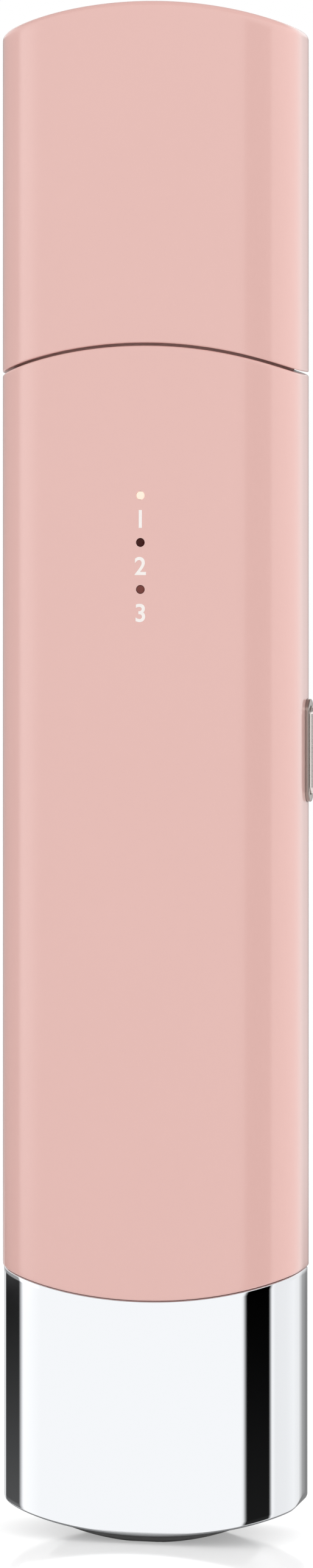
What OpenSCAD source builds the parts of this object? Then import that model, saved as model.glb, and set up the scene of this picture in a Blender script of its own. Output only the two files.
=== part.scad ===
// Hand-held ultrasonic facial scrubber: a flat wand with a pull-off cap over a steel blade,
// two moulded covers, a plated base and a slim side button.
// Millimetres. +Z points to the blade, the front face looks along -Y, and the origin is the
// middle of the flat foot under the base.

/* [Outer form] */
// Overall width of the wand
body_w = 38; // [37:0.5:46]
// Overall thickness of the wand
body_t = 17; // [16.8:0.2:22]
// Exponent of the oval section: 2 is an ellipse, more is squarer
squareness = 3.7; // [3.4:0.1:5]
// Radius of the arcs at the seam, at the joint over the base and on top of the cap
end_arc_r = 54; // [46:1:120]
// Radius of the flatter arc under the base
base_arc_r = 65; // [54:1:120]
// Height of the plated base on the centre line, foot to covers
base_h = 30.2; // [27:0.2:42]
// Height of the covers on the centre line, base to cap
covers_h = 117.8; // [117:0.1:150]
// Height of the cap on the centre line
cap_h = 42.6; // [41.4:0.2:60]
// How far the foot stands out of the underside on the centre line
foot_h = 1.35; // [0.8:0.05:1.6]
// Radius of the foot's arc, tighter than the underside's
foot_arc_r = 26; // [22:1:34]
// Width of the flat that is ground on the foot
foot_w = 8; // [7:0.5:11]
// Distance of the foot inside the base's wall
foot_inset = 1.2; // [0.8:0.1:2]
// Depth behind the middle plane where the rear cover meets the front cover
split_y = 3.6; // [3.5:0.1:4.4]

/* [Walls and fits] */
// Wall of the front and rear covers
cover_wall = 1.5; // [1.2:0.1:1.8]
// Side wall of the cap
cap_wall = 1.5; // [1.2:0.1:1.8]
// Top wall of the cap
cap_top_wall = 2; // [1.5:0.1:2.4]
// Side wall of the base
base_wall = 1.3; // [1:0.1:1.6]
// Floor of the base
base_floor = 1.8; // [1.5:0.1:2.2]
// How far the plated base stands inside the covers' outline
base_inset = 0.15; // [0.05:0.05:0.3]
// Wall of the tongue that the base slides over
tongue_wall = 1.3; // [1.1:0.1:1.5]
// Length of that tongue below the covers
tongue_h = 11.5; // [10.5:0.5:13]
// Free space between the board's tail and the floor of the base
board_floor_gap = 0.7; // [0.4:0.1:1.2]
// Shelf that joins the tongue to the covers
shelf_t = 2; // [1.5:0.1:2.5]
// Clearance between moulded parts that are pushed together
fit_gap = 0.15; // [0.1:0.05:0.25]
// Clearance of the cap over the collar
cap_gap = 0.2; // [0.15:0.05:0.3]
// Clearance of parts that touch, such as a pin in its hole
touch_gap = 0.05; // [0.03:0.01:0.08]
// Visible joint between the cap and the covers
seam_gap = 0.35; // [0.2:0.05:0.5]

/* [Collar and blade] */
// Height of the collar that the cap grips
collar_h = 8; // [7:0.5:10]
// Depth of the collar inside the covers, below the lowest edge of the seam
collar_depth = 10; // [9:0.5:12]
// Wall of the collar
collar_wall = 1.4; // [1.2:0.1:1.6]
// Thinnest top wall of the collar
collar_top_wall = 1.6; // [1.2:0.1:2]
// Height and depth of the rib that locks the collar in the covers
lock_rib = [1.6, 0.85];
// Height of the collar gasket
gasket_h = 1.4; // [1:0.1:1.6]
// Depth of the gasket grooves
gasket_depth = 0.7; // [0.5:0.05:0.8]
// Width of the steel blade where it leaves the collar
blade_w = 24; // [20:0.5:25]
// Width of the blade's edge
blade_tip_w = 21; // [16:0.5:21.5]
// Thickness of the blade
blade_t = 0.9; // [0.7:0.1:1.2]
// Height of the blade above the collar
blade_out = 29; // [24:0.5:29.5]
// Height above the collar where the blade bends forward
blade_bend_z = 8; // [5:0.5:12]
// Angle of that bend
blade_bend = 13; // [5:1:15]
// Length of the ground edge
blade_edge = 3; // [2:0.5:5]
// Thickness left at the ground edge
blade_edge_t = 0.25; // [0.15:0.05:0.4]
// Corner radius of the blade's edge
blade_corner_r = 2.5; // [1.5:0.5:4]
// Rubber between the blade and its slot in the collar
seal_t = 1.3; // [1:0.1:1.5]
// Flange of that rubber, under the collar's top
seal_flange = 0.8; // [0.6:0.1:1]

/* [Ultrasonic stack] */
// Diameter of the horn
horn_d = 9.6; // [9:0.1:9.8]
// Length of the horn
horn_h = 10.5; // [10:0.1:10.8]
// Width of the blade's tang in the horn
tang_w = 7; // [6:0.5:7.5]
// Depth of the tang in the horn
tang_h = 5.5; // [5:0.1:5.8]
// Diameter of the pin through the horn and the tang
blade_pin_d = 1.6; // [1.2:0.1:2]
// Outside diameter of the rubber sleeve that carries the horn
sleeve_d = 11.2; // [11:0.1:11.4]
// Height of that sleeve
sleeve_h = 2.5; // [2:0.1:2.7]
// Depth of the groove in the horn that the sleeve sits in
sleeve_groove = 1; // [0.8:0.1:1.2]
// Outside diameter of the piezo rings and the back mass
ring_d = 9.5; // [9:0.1:9.8]
// Thickness of one piezo ring
ring_t = 2.2; // [2:0.1:2.3]
// Thickness of one copper electrode
electrode_t = 0.2; // [0.1:0.05:0.25]
// Length of the back mass
back_mass_h = 4.5; // [4.2:0.1:4.8]
// Diameter of the bolt through the stack
bolt_d = 3; // [2.5:0.1:3.2]
// Thickness of the plate that holds the sleeve in the collar
clamp_t = 2; // [1.5:0.1:2.2]

/* [Lamps and button] */
// Distance from the seam down to the upper lamp
lamp_drop = 18.5; // [18.5:0.05:24]
// Distance between two lamps
lamp_pitch = 5.8; // [4:0.1:7]
// Diameter of a lamp's clear pin
lamp_d = 1; // [0.8:0.1:1.4]
// Distance from the seam down to the middle of the button
button_drop = 50.15; // [49:0.05:51]
// Distance of the button behind the middle plane
button_y = 1.7; // [1.5:0.1:1.7]
// Length and width of the button's visible face
key_l = 10.8; // [9:0.1:12]
key_w = 1.9; // [1.6:0.1:2.2]
// How far the button stands out of the side
key_out = 1; // [0.7:0.05:1.3]
// Travel of the button
key_travel = 0.4; // [0.2:0.05:0.5]
// Width of the bezel's visible ring at its ends and at its sides
bezel_end = 0.75; // [0.6:0.05:1]
bezel_side = 0.35; // [0.3:0.05:0.5]
// How far the bezel stands out of the side
bezel_out = 0.5; // [0.2:0.05:0.5]

/* [Board and cell] */
// Thickness of the circuit board
board_t = 1; // [0.8:0.1:1.2]
// Width of the circuit board
board_w = 22; // [20:0.5:22.5]
// Width of the board's tail in the base
board_tail_w = 13; // [12:0.5:14]
// Thickness of the chassis plate
plate_t = 1.2; // [1:0.1:1.4]
// Width of the chassis plate
plate_w = 31; // [30.5:0.1:31.5]
// Gap between the board and the chassis plate
plate_gap = 0.9; // [0.7:0.1:1]
// Battery cell: thickness, width and length
cell_t = 5; // [4:0.1:5.2]
cell_w = 25; // [20:0.5:25]
cell_h = 50; // [40:0.5:50]
// Thickness of the foam tape under the cell
cell_pad_t = 0.3; // [0.2:0.1:0.4]
// Charging socket: width, thickness and length of its metal shell
socket_w = 8.94; // [8.5:0.02:9.2]
socket_t = 3.2; // [3:0.05:3.3]
socket_h = 7.3; // [6.5:0.1:8]
// Diameter of the screws' heads and of their shanks
screw_head_d = 3.6; // [3:0.1:3.8]
screw_shank_d = 1.7; // [1.4:0.1:2]
// Height of the screws' heads
screw_head_h = 1.2; // [1:0.1:1.4]
// Diameter of the lead wires
wire_d = 1; // [0.8:0.1:1.2]
// How much thicker a wire is at its bends
wire_bend_extra = 0.04; // [0.02:0.01:0.1]
// Clearance around the button inside its bezel
key_gap = 0.25; // [0.2:0.05:0.35]

/* [Small parts] */
// Land on the horn between the tang's slot and the sleeve's groove
horn_land = 0.6; // [0.5:0.1:0.8]
// Free space between the blade seal and the top of the horn
horn_gap = 0.2; // [0.1:0.05:0.3]
// Bulkhead left above the sleeve's pocket
bulkhead_t = 1.5; // [1.2:0.1:2]
// Bore of the piezo rings and the electrodes
ring_bore = 4.6; // [4:0.1:5]
// Bolt head: diameter and height
bolt_head_d = 5.4; // [5:0.1:5.6]
bolt_head_h = 2.5; // [2:0.1:2.8]
// Distance of each clamp screw from the middle
clamp_screw_x = 11; // [10:0.2:12]
// Distance of each chassis screw from the middle
chassis_screw_x = 13; // [13:0.1:13.2]
// Length of a chassis screw in its boss
chassis_screw_bite = 3.5; // [2.5:0.1:4]
// Distance of each board screw from the middle
board_screw_x = 8.6; // [8:0.1:8.8]
// Distance of each cover screw from the middle
cover_screw_x = 12; // [11.4:0.1:12.4]
// Length of a cover screw's shank
cover_screw_l = 8; // [6:0.5:9]
// Indicator lamp on the board: width, height and depth
lamp_chip = [1.6, 0.8, 0.7];
// Side switch: depth and length of its body, and diameter of its plunger
switch_body = [3.8, 6];
plunger_d = 1.8; // [1.4:0.1:2]
// Diameter of the button's stem
stem_d = 2; // [1.6:0.1:2.2]
// Guide rib for the stem: thickness and length
guide_rib = [1.8, 7];
// Depth and width of the lip that lines the covers' joint
lip = [0.9, 2];
// Battery socket on the board: width, depth and height
cell_socket_size = [6.4, 4.2, 5.5];
// Inductor: width of its foot, diameter and height of its coil
inductor = [8.5, 7.8, 2.8];
// Capacitors: diameter, height and distance from one to the next
capacitor = [4, 4, 5.4];
// Distance from the button down to the inductor and down to the first capacitor
inductor_drop = 16; // [15:0.5:17]
capacitor_drop = 12; // [11:0.5:12.5]
// Gap between the inductor's foot and the capacitors
capacitor_gap = 2.75; // [2.5:0.05:3]
// Snap hooks: rise of the lowest over the shelf, and distances of the others under and over the button
hook_rise = [20, 24, 22];
// Light shroud: width, and length past the lowest lamp
shroud = [6, 2.6];
// Corner radius of the cell
cell_corner_r = 1.5; // [1:0.1:2]

/* [Hidden] */
$fn = 48;
section_points = 96;
big = 400;

// Colours
rose = [0.91, 0.74, 0.72];
chrome = [0.82, 0.83, 0.85];
steel = [0.72, 0.73, 0.75];
rubber = [0.32, 0.3, 0.3];
white_plastic = [0.9, 0.89, 0.87];
dark_plastic = [0.16, 0.16, 0.17];
board_green = [0.1, 0.35, 0.22];
copper = [0.8, 0.5, 0.3];
ceramic = [0.78, 0.76, 0.7];
silver_foil = [0.75, 0.76, 0.78];

// Heights of the outer form
side_drop = arc_drop(body_w / 2);
floor_z = foot_h + base_floor;
seam_z = base_h + covers_h;
top_z = seam_z + cap_h;
seam_side_z = seam_z - side_drop;
shelf_side_z = base_h + shelf_t + side_drop;
tongue_low_z = base_h - tongue_h;

// Insets of the nested walls from the outer section
tongue_out = base_inset + base_wall + fit_gap;
tongue_in = tongue_out + tongue_wall;
collar_low_out = cover_wall + fit_gap;
collar_low_in = collar_low_out + collar_wall;
collar_top_out = cap_wall + cap_gap;
collar_top_in = collar_top_out + collar_wall;

// Heights in the collar
collar_low_z = seam_side_z - collar_depth;
collar_top_z = seam_z + collar_h;
seal_half_w = blade_w / 2 + seal_t;
seal_half_t = blade_t / 2 + seal_t;
flange_edge = 1.2;
ceiling_z = collar_top_z - arc_drop(seal_half_w + flange_edge) - collar_top_wall;
lock_z = collar_low_z + 1.2;
collar_gasket_z = seam_side_z - 1.5 - gasket_h;
cap_gasket_z = seam_z + 2;
base_gasket_z = base_h - 2 - gasket_h;

// Heights in the ultrasonic stack, from the horn down
horn_top_z = ceiling_z - seal_flange - horn_gap;
horn_low_z = horn_top_z - horn_h;
tang_low_z = horn_top_z - tang_h;
sleeve_top_z = tang_low_z - horn_land;
sleeve_low_z = sleeve_top_z - sleeve_h;
bulkhead_top_z = sleeve_top_z + bulkhead_t;
bolt_in_horn = horn_h - tang_h - 0.8;
upper_ring_z = horn_low_z - ring_t;
upper_electrode_z = upper_ring_z - electrode_t;
lower_ring_z = upper_electrode_z - ring_t;
lower_electrode_z = lower_ring_z - electrode_t;
back_low_z = lower_electrode_z - back_mass_h;
electrode_tab = [1.8, 1.6];
clamp_bite = 3;

// Depths of the layers from the rear wall forward
cell_back_y = half_depth(cell_w / 2, cover_wall) - fit_gap;
cell_front_y = cell_back_y - cell_t;
plate_back_y = cell_front_y - cell_pad_t;
plate_front_y = plate_back_y - plate_t;
board_back_y = plate_front_y - plate_gap;
board_front_y = board_back_y - board_t;
front_in_y = cover_wall - body_t / 2;

// Lamps, board and plate
lamp_z = [for (i = [0:2]) seam_z - lamp_drop - i * lamp_pitch];
board_top_z = lamp_z[0] + lamp_chip[1] / 2 + 0.4;
plate_top_z = board_top_z - 0.3;
low_screw_z = shelf_side_z + 0.6;
chassis_screw_z = [low_screw_z, plate_top_z - 2.3];
boss_d = screw_head_d;
plate_low_z = low_screw_z - 1.5;
board_shoulder_z = low_screw_z + 2.4;
board_screw_z = [board_shoulder_z + 4, lamp_z[2] - 7];
plate_corner_r = 1.2;

// Battery cell, above the lower chassis screws
cell_low_z = low_screw_z + screw_head_d / 2 + 0.5;
cell_top_z = cell_low_z + cell_h;

// Button and switch
button_z = seam_z - button_drop;
side_x = body_w / 2;
wall_in_x = half_width(button_y + key_w / 2 + key_gap + bezel_side, cover_wall);
bezel_hole = [key_l + 2 * key_gap, key_w + 2 * key_gap];
bezel_size = [bezel_hole[0] + 2 * bezel_end, bezel_hole[1] + 2 * bezel_side];
bezel_low_x = wall_in_x;
key_flange = [bezel_hole[0] + 1, bezel_hole[1] + 0.6];
key_flange_t = 0.7;
key_flange_x = bezel_low_x - 0.1;
guide_x = key_flange_x - key_flange_t - key_travel - 0.3 - guide_rib[0];
guide_back_y = button_y + stem_d / 2 + 1.3;
switch_out_x = board_w / 2 - 0.1;
plunger_out_x = (switch_out_x + guide_x) / 2;
plunger_in = 1;
ring_section = [0.7, 0.3];

// Socket and base
port_recess = 0.5;
board_low_z = floor_z + arc_drop(board_tail_w / 2, base_arc_r) + board_floor_gap;
socket_y = board_front_y - socket_t / 2;
socket_wall = 0.3;
base_in_y = body_t / 2 - base_inset - base_wall;
contact_low_z = port_recess + socket_h + 1.7;
contact_high_z = tongue_low_z - 0.6;
contact_pad_h = 2.9;
snap_bead = [0.5, 6];
snap_z = tongue_low_z + 2.2;
cover_screw_z = tongue_low_z + 4.6;
cover_screw_head_y = half_depth(cover_screw_x + screw_head_d / 2, tongue_out) - screw_head_h - 0.1;

// Wires and the inductor
inductor_x = -3.5;
cell_socket_x = -6.5;
cell_socket_z = cell_top_z + 7.4;
cell_plug_size = [cell_socket_size[0] - 1.2, cell_socket_size[1] - 1.4, 4.8];
cell_plug_out = 1.4;
cell_plug_y = board_back_y + cell_socket_size[1] / 2;
piezo_wire_x = ring_d / 2 + electrode_tab[0] - wire_d / 2;

// Section and arcs

function arc_drop(x, r = end_arc_r) = r - sqrt(pow(r, 2) - pow(x, 2));

// Half the depth of the section at a place across its width, and the other way round
function half_depth(x, inset) = (body_t / 2 - inset)
    * pow(1 - pow(abs(x) / (body_w / 2 - inset), squareness), 1 / squareness);
function half_width(y, inset) = (body_w / 2 - inset)
    * pow(1 - pow(abs(y) / (body_t / 2 - inset), squareness), 1 / squareness);

function oval(inset) = [for (i = [0:section_points - 1]) let (t = 360 * i / section_points)
    [(body_w / 2 - inset) * sign(cos(t)) * pow(abs(cos(t)), 2 / squareness),
     (body_t / 2 - inset) * sign(sin(t)) * pow(abs(sin(t)), 2 / squareness)]];

// The oval section as an upright column
module column(inset, low_z, high_z) {
    translate([0, 0, low_z])
        linear_extrude(high_z - low_z)
            polygon(oval(inset));
}

// A wall between two insets
module wall(outer, inner, low_z, high_z) {
    difference() {
        column(outer, low_z, high_z);
        column(inner, low_z - 1, high_z + 1);
    }
}

// Everything under an arc that crowns upwards at this height
module under_arc(z, r = end_arc_r) {
    translate([0, 0, z - r])
        rotate([90, 0, 0])
            cylinder(r = r, h = 2 * body_t, center = true, $fn = 240);
    translate([-r, -body_t, z - r - big])
        cube([2 * r, 2 * body_t, big]);
}

// Everything over an arc that crowns downwards at this height
module over_arc(z, r = end_arc_r) {
    mirror([0, 0, 1])
        under_arc(-z, r);
}

// A slab of space between two depths
module depth_slab(front_y, back_y) {
    translate([-body_w, front_y, -10])
        cube([2 * body_w, back_y - front_y, big]);
}

// A rounded rectangle made of squares and circles
module round_rect(w, h, r) {
    square([w - 2 * r, h], center = true);
    square([w, h - 2 * r], center = true);
    for (x = [-1, 1], y = [-1, 1])
        translate([x * (w / 2 - r), y * (h / 2 - r)])
            circle(r);
}

// A slot with round ends along X, long in Z
module slot_x(size, low_x, high_x) {
    straight = size[0] - size[1];
    translate([low_x, button_y, button_z])
        rotate([0, 90, 0])
            linear_extrude(high_x - low_x) {
                square([straight, size[1]], center = true);
                for (s = [-1, 1])
                    translate([s * straight / 2, 0])
                        circle(d = size[1]);
            }
}

// A slot with round ends along Z, long in X
module slot_z(w, t, y, low_z, high_z) {
    translate([0, y, low_z])
        linear_extrude(high_z - low_z) {
            square([w - t, t], center = true);
            for (s = [-1, 1])
                translate([s * (w - t) / 2, 0])
                    circle(d = t);
        }
}

// A plate drawn as seen from the front, with its back face at this depth
module upright_plate(back_y, t) {
    translate([0, back_y, 0])
        rotate([90, 0, 0])
            linear_extrude(t)
                children();
}

// A round pin along Y between two depths
module pin_y(x, z, d, front_y, back_y) {
    translate([x, back_y, z])
        rotate([90, 0, 0])
            cylinder(d = d, h = back_y - front_y);
}

module pin_x(y, z, d, low_x, high_x) {
    translate([low_x, y, z])
        rotate([0, 90, 0])
            cylinder(d = d, h = high_x - low_x);
}

// A cross-head screw that points along +Z from the origin, head below
module screw(length) {
    difference() {
        union() {
            translate([0, 0, -screw_head_h])
                cylinder(d = screw_head_d, h = screw_head_h);
            cylinder(d = screw_shank_d, h = length);
        }
        for (turn = [0, 90])
            rotate([0, 0, turn])
                translate([-screw_head_d / 3, -0.2, -screw_head_h - 0.1])
                    cube([2 * screw_head_d / 3, 0.4, screw_head_h / 2 + 0.1]);
    }
}

// A round wire through a list of points
module wire(points) {
    for (i = [0:len(points) - 2]) {
        run = points[i + 1] - points[i];
        translate(points[i])
            rotate([0, acos(run[2] / norm(run)), atan2(run[1], run[0])])
                cylinder(d = wire_d, h = norm(run));
    }
    for (i = [1:len(points) - 2])
        translate(points[i])
            sphere(d = wire_d + wire_bend_extra);
}

// Outer parts

module cap() {
    color(rose)
        difference() {
            intersection() {
                column(0, seam_side_z, top_z);
                under_arc(top_z);
            }
            under_arc(seam_z + seam_gap);
            intersection() {
                column(cap_wall, seam_side_z - 1, top_z);
                under_arc(top_z - cap_top_wall);
            }
        }
}

// Both covers as one tube, with the shelf and the tongue for the base
module cover_tube() {
    difference() {
        intersection() {
            column(0, base_h, seam_z);
            under_arc(seam_z);
            over_arc(base_h);
        }
        intersection() {
            column(cover_wall, base_h, seam_z + 1);
            over_arc(base_h + shelf_t);
        }
        column(tongue_in, base_h - 1, seam_z);
        column(collar_low_out - lock_rib[1] - fit_gap, lock_z - fit_gap, lock_z + lock_rib[0] + fit_gap);
    }
    difference() {
        wall(tongue_out, tongue_in, tongue_low_z, shelf_side_z);
        over_arc(base_h + shelf_t / 2);
        wall(0, tongue_out + gasket_depth, base_gasket_z, base_gasket_z + gasket_h);
    }
}

// The pillar that a cover screw is driven through, inside the tongue
module cover_screw_pillar(side) {
    intersection() {
        pin_y(side * cover_screw_x, cover_screw_z, screw_head_d + 1.6, -body_t / 2, body_t / 2);
        column(tongue_out + 0.1, tongue_low_z, base_h);
    }
}

module front_cover() {
    color(rose)
        difference() {
            union() {
                intersection() {
                    union() {
                        cover_tube();
                        for (side = [-1, 1])
                            cover_screw_pillar(side);
                    }
                    depth_slab(-body_t, split_y);
                }
                for (x = [-1, 1], z = chassis_screw_z)
                    pin_y(x * chassis_screw_x, z, boss_d, front_in_y, plate_front_y);
                translate([guide_x, front_in_y + 0.7, button_z - guide_rib[1] / 2])
                    cube([guide_rib[0], guide_back_y - front_in_y - 0.7, guide_rib[1]]);
                for (side = [-1, 1])
                    pin_y(side * (body_w / 2 - tongue_out - 0.15), snap_z, 2 * snap_bead[0],
                        -snap_bead[1] / 2, snap_bead[1] / 2);
            }
            for (z = lamp_z)
                pin_y(0, z, lamp_d + 2 * touch_gap, -body_t, 0);
            for (x = [-1, 1], z = chassis_screw_z)
                pin_y(x * chassis_screw_x, z, screw_shank_d + 2 * touch_gap,
                    plate_front_y - chassis_screw_bite - 0.3, plate_front_y + 1);
            for (side = [-1, 1])
                pin_y(side * cover_screw_x, cover_screw_z, screw_shank_d + 2 * touch_gap,
                    cover_screw_head_y - cover_screw_l - 0.3, split_y + 1);
            slot_x([bezel_size[0] + 2 * touch_gap, bezel_size[1] + 2 * touch_gap],
                wall_in_x - 2, side_x + 1);
            pin_x(button_y, button_z, stem_d + 0.16, guide_x - 1, guide_x + guide_rib[0] + 1);
            pin_x(button_y, button_z, stem_d + 2 * ring_section[1] + 0.1,
                guide_x + 0.4, guide_x + guide_rib[0] + 1);
            for (side = [-1, 1], z = hook_z)
                hook(side, z, 0.1);
        }
}

// A snap hook on the lip, and with a margin its pocket in the front cover
hook_z = [shelf_side_z + hook_rise[0], button_z - hook_rise[1], button_z + hook_rise[2]];
hook_size = [0.35, 1, 5];
module hook(side, z, margin) {
    reach = half_width(split_y - lip[1] / 2, cover_wall) - touch_gap;
    translate([side * reach, split_y - lip[1] / 2, z])
        cube([2 * (hook_size[0] + margin), hook_size[1] + 2 * margin, hook_size[2] + 2 * margin],
            center = true);
}

module rear_cover() {
    lip_low_z = shelf_side_z + 0.5;
    lip_high_z = collar_low_z - 1;
    button_room = guide_rib[1] + key_flange[0] / 2;
    color(rose)
        difference() {
            union() {
                intersection() {
                    union() {
                        cover_tube();
                        for (side = [-1, 1])
                            cover_screw_pillar(side);
                    }
                    depth_slab(split_y, body_t);
                }
                difference() {
                    union() {
                        intersection() {
                            wall(cover_wall + touch_gap, cover_wall + touch_gap + lip[0],
                                lip_low_z, lip_high_z);
                            depth_slab(split_y - lip[1], split_y);
                        }
                        intersection() {
                            wall(cover_wall - 0.3, cover_wall + touch_gap + lip[0],
                                lip_low_z, lip_high_z);
                            depth_slab(split_y, split_y + 1);
                        }
                        for (side = [-1, 1], z = hook_z)
                            hook(side, z, 0);
                    }
                    translate([0, split_y - lip[1] - 1, button_z - button_room])
                        cube([body_w, lip[1] + 3, 2 * button_room]);
                }
                // Rails beside the cell
                for (side = [-1, 1])
                    intersection() {
                        translate([side * (cell_w / 2 + fit_gap + 0.4) - 0.4, cell_front_y + 0.4,
                            cell_low_z + 2])
                            cube([0.8, body_t, cell_h - 6]);
                        column(cover_wall - 0.3, base_h, seam_z);
                    }
            }
            for (side = [-1, 1]) {
                pin_y(side * cover_screw_x, cover_screw_z, screw_shank_d + 0.3, 0, body_t);
                pin_y(side * cover_screw_x, cover_screw_z, screw_head_d + 0.3,
                    cover_screw_head_y, body_t);
            }
        }
}

module base_shell() {
    color(chrome)
        difference() {
            union() {
                intersection() {
                    column(base_inset, 0, base_h + side_drop);
                    over_arc(foot_h, base_arc_r);
                }
                intersection() {
                    column(base_inset + foot_inset, 0, floor_z);
                    over_arc(-arc_drop(foot_w / 2, foot_arc_r), foot_arc_r);
                }
            }
            over_arc(base_h - fit_gap);
            intersection() {
                column(base_inset + base_wall, 0, base_h + side_drop + 1);
                over_arc(floor_z, base_arc_r);
            }
            slot_z(socket_w + 2 * fit_gap, socket_t + 2 * fit_gap, socket_y, -1, floor_z + 2);
            for (side = [-1, 1])
                pin_y(side * (body_w / 2 - tongue_out - 0.15), snap_z, 2 * snap_bead[0] + 2 * fit_gap,
                    -snap_bead[1] / 2 - fit_gap, snap_bead[1] / 2 + fit_gap);
        }
}

// Collar and its rubber

module collar() {
    color(rose)
        difference() {
            union() {
                intersection() {
                    column(collar_low_out, collar_low_z, seam_z);
                    under_arc(seam_z);
                }
                intersection() {
                    column(collar_top_out, seam_side_z, collar_top_z);
                    under_arc(collar_top_z);
                }
                column(collar_low_out - lock_rib[1], lock_z, lock_z + lock_rib[0]);
            }
            intersection() {
                column(collar_top_in, bulkhead_top_z, ceiling_z);
                under_arc(collar_top_z - collar_top_wall);
            }
            column(collar_low_in, collar_low_z - 1, sleeve_low_z);
            translate([0, 0, sleeve_low_z - 1])
                cylinder(d = sleeve_d + 2 * touch_gap, h = sleeve_h + 1);
            cylinder(d = horn_d + 0.5, h = bulkhead_top_z + 1);
            translate([-seal_half_w - touch_gap, -seal_half_t - touch_gap, ceiling_z - 1])
                cube([2 * (seal_half_w + touch_gap), 2 * (seal_half_t + touch_gap), collar_h]);
            wall(0, collar_low_out + gasket_depth, collar_gasket_z, collar_gasket_z + gasket_h);
            wall(0, collar_top_out + gasket_depth, cap_gasket_z, cap_gasket_z + gasket_h);
            for (side = [-1, 1])
                translate([side * clamp_screw_x, 0, sleeve_low_z - 1])
                    cylinder(d = screw_shank_d + 2 * touch_gap, h = clamp_bite + 1.3);
        }
}

module collar_gasket() {
    color(rubber)
        wall(cover_wall + touch_gap, collar_low_out + gasket_depth - touch_gap,
            collar_gasket_z + touch_gap, collar_gasket_z + gasket_h - touch_gap);
}

module cap_gasket() {
    color(rubber)
        wall(cap_wall + touch_gap, collar_top_out + gasket_depth - touch_gap,
            cap_gasket_z + touch_gap, cap_gasket_z + gasket_h - touch_gap);
}

module base_gasket() {
    color(rubber)
        wall(base_inset + base_wall + touch_gap, tongue_out + gasket_depth - touch_gap,
            base_gasket_z + touch_gap, base_gasket_z + gasket_h - touch_gap);
}

// Outline of the blade as seen from the front, as a bottom-up list of its right side
function blade_side(tip_z) =
    let (
        neck_z = collar_top_z,
        slant = atan((blade_w - blade_tip_w) / 2 / (tip_z - neck_z)),
        corner_x = blade_tip_w / 2 - blade_corner_r,
        corner_z = tip_z - blade_corner_r
    )
    concat(
        [[tang_w / 2, tang_low_z + touch_gap], [tang_w / 2, horn_top_z + touch_gap],
         [blade_w / 2, horn_top_z + touch_gap], [blade_w / 2, neck_z]],
        [for (t = [slant:10:90]) [corner_x + blade_corner_r * cos(t), corner_z + blade_corner_r * sin(t)]],
        [[corner_x, tip_z]]);

// The blade's edge as seen from the side: a bent strip with one ground face
function blade_profile() =
    let (
        half = blade_t / 2,
        bend_z = collar_top_z + blade_bend_z,
        run = (blade_out - blade_bend_z) / cos(blade_bend),
        along = [-sin(blade_bend), cos(blade_bend)],
        out = [cos(blade_bend), sin(blade_bend)],
        bend = [0, bend_z],
        mitre = half * tan(blade_bend / 2)
    )
    [[-half, tang_low_z + touch_gap], [-half, bend_z - mitre], bend - half * out + run * along,
     bend - (half - blade_edge_t) * out + run * along, bend + half * out + (run - blade_edge) * along,
     [half, bend_z + mitre], [half, tang_low_z + touch_gap]];

module blade() {
    tip_z = collar_top_z + blade_out + 0.1;
    right = blade_side(tip_z);
    left = [for (i = [len(right) - 1:-1:0]) [-right[i][0], right[i][1]]];
    color(steel)
        difference() {
            intersection() {
                rotate([90, 0, 0])
                    linear_extrude(2 * body_t, center = true)
                        polygon(concat(right, left));
                rotate([90, 0, 90])
                    linear_extrude(body_w, center = true)
                        polygon(blade_profile());
            }
            pin_y(0, horn_top_z - tang_h / 2, blade_pin_d + 2 * touch_gap, -body_t, body_t);
        }
}

module blade_seal() {
    color(rubber)
        difference() {
            union() {
                intersection() {
                    translate([-seal_half_w, -seal_half_t, ceiling_z - seal_flange])
                        cube([2 * seal_half_w, 2 * seal_half_t, collar_h]);
                    under_arc(collar_top_z + 0.3);
                }
                translate([-seal_half_w - flange_edge, -seal_half_t - flange_edge,
                    ceiling_z - seal_flange])
                    cube([2 * (seal_half_w + flange_edge), 2 * (seal_half_t + flange_edge), seal_flange]);
            }
            translate([-blade_w / 2 - touch_gap, -blade_t / 2 - touch_gap, ceiling_z - seal_flange - 1])
                cube([blade_w + 2 * touch_gap, blade_t + 2 * touch_gap, collar_h + 2]);
        }
}

// Ultrasonic stack

module blade_pin() {
    color(steel)
        pin_y(0, horn_top_z - tang_h / 2, blade_pin_d, -horn_d / 2 + 0.3, horn_d / 2 - 0.3);
}

module horn() {
    color(steel)
        difference() {
            translate([0, 0, horn_low_z])
                cylinder(d = horn_d, h = horn_h);
            translate([0, 0, sleeve_low_z])
                difference() {
                    cylinder(d = horn_d + 2, h = sleeve_h);
                    translate([0, 0, -1])
                        cylinder(d = horn_d - 2 * sleeve_groove, h = sleeve_h + 2);
                }
            translate([-tang_w / 2 - touch_gap, -blade_t / 2 - touch_gap, tang_low_z])
                cube([tang_w + 2 * touch_gap, blade_t + 2 * touch_gap, tang_h + 1]);
            pin_y(0, horn_top_z - tang_h / 2, blade_pin_d + 2 * touch_gap, -horn_d, horn_d);
            translate([0, 0, horn_low_z - 1])
                cylinder(d = bolt_d + 2 * touch_gap, h = bolt_in_horn + 1.2);
        }
}

module horn_sleeve() {
    color(rubber)
        translate([0, 0, sleeve_low_z])
            difference() {
                cylinder(d = sleeve_d, h = sleeve_h);
                translate([0, 0, -1])
                    cylinder(d = horn_d - 2 * sleeve_groove + 2 * touch_gap, h = sleeve_h + 2);
            }
}

module sleeve_clamps() {
    notch_d = horn_d + 0.3;
    color(steel)
        difference() {
            column(collar_low_in + fit_gap, sleeve_low_z - clamp_t, sleeve_low_z);
            cylinder(d = notch_d, h = big);
            translate([-notch_d / 3, -body_t, 0])
                cube([2 * notch_d / 3, 2 * body_t, big]);
            for (side = [-1, 1])
                translate([side * clamp_screw_x, 0, 0])
                    cylinder(d = screw_shank_d + 0.3, h = big);
        }
}

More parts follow.
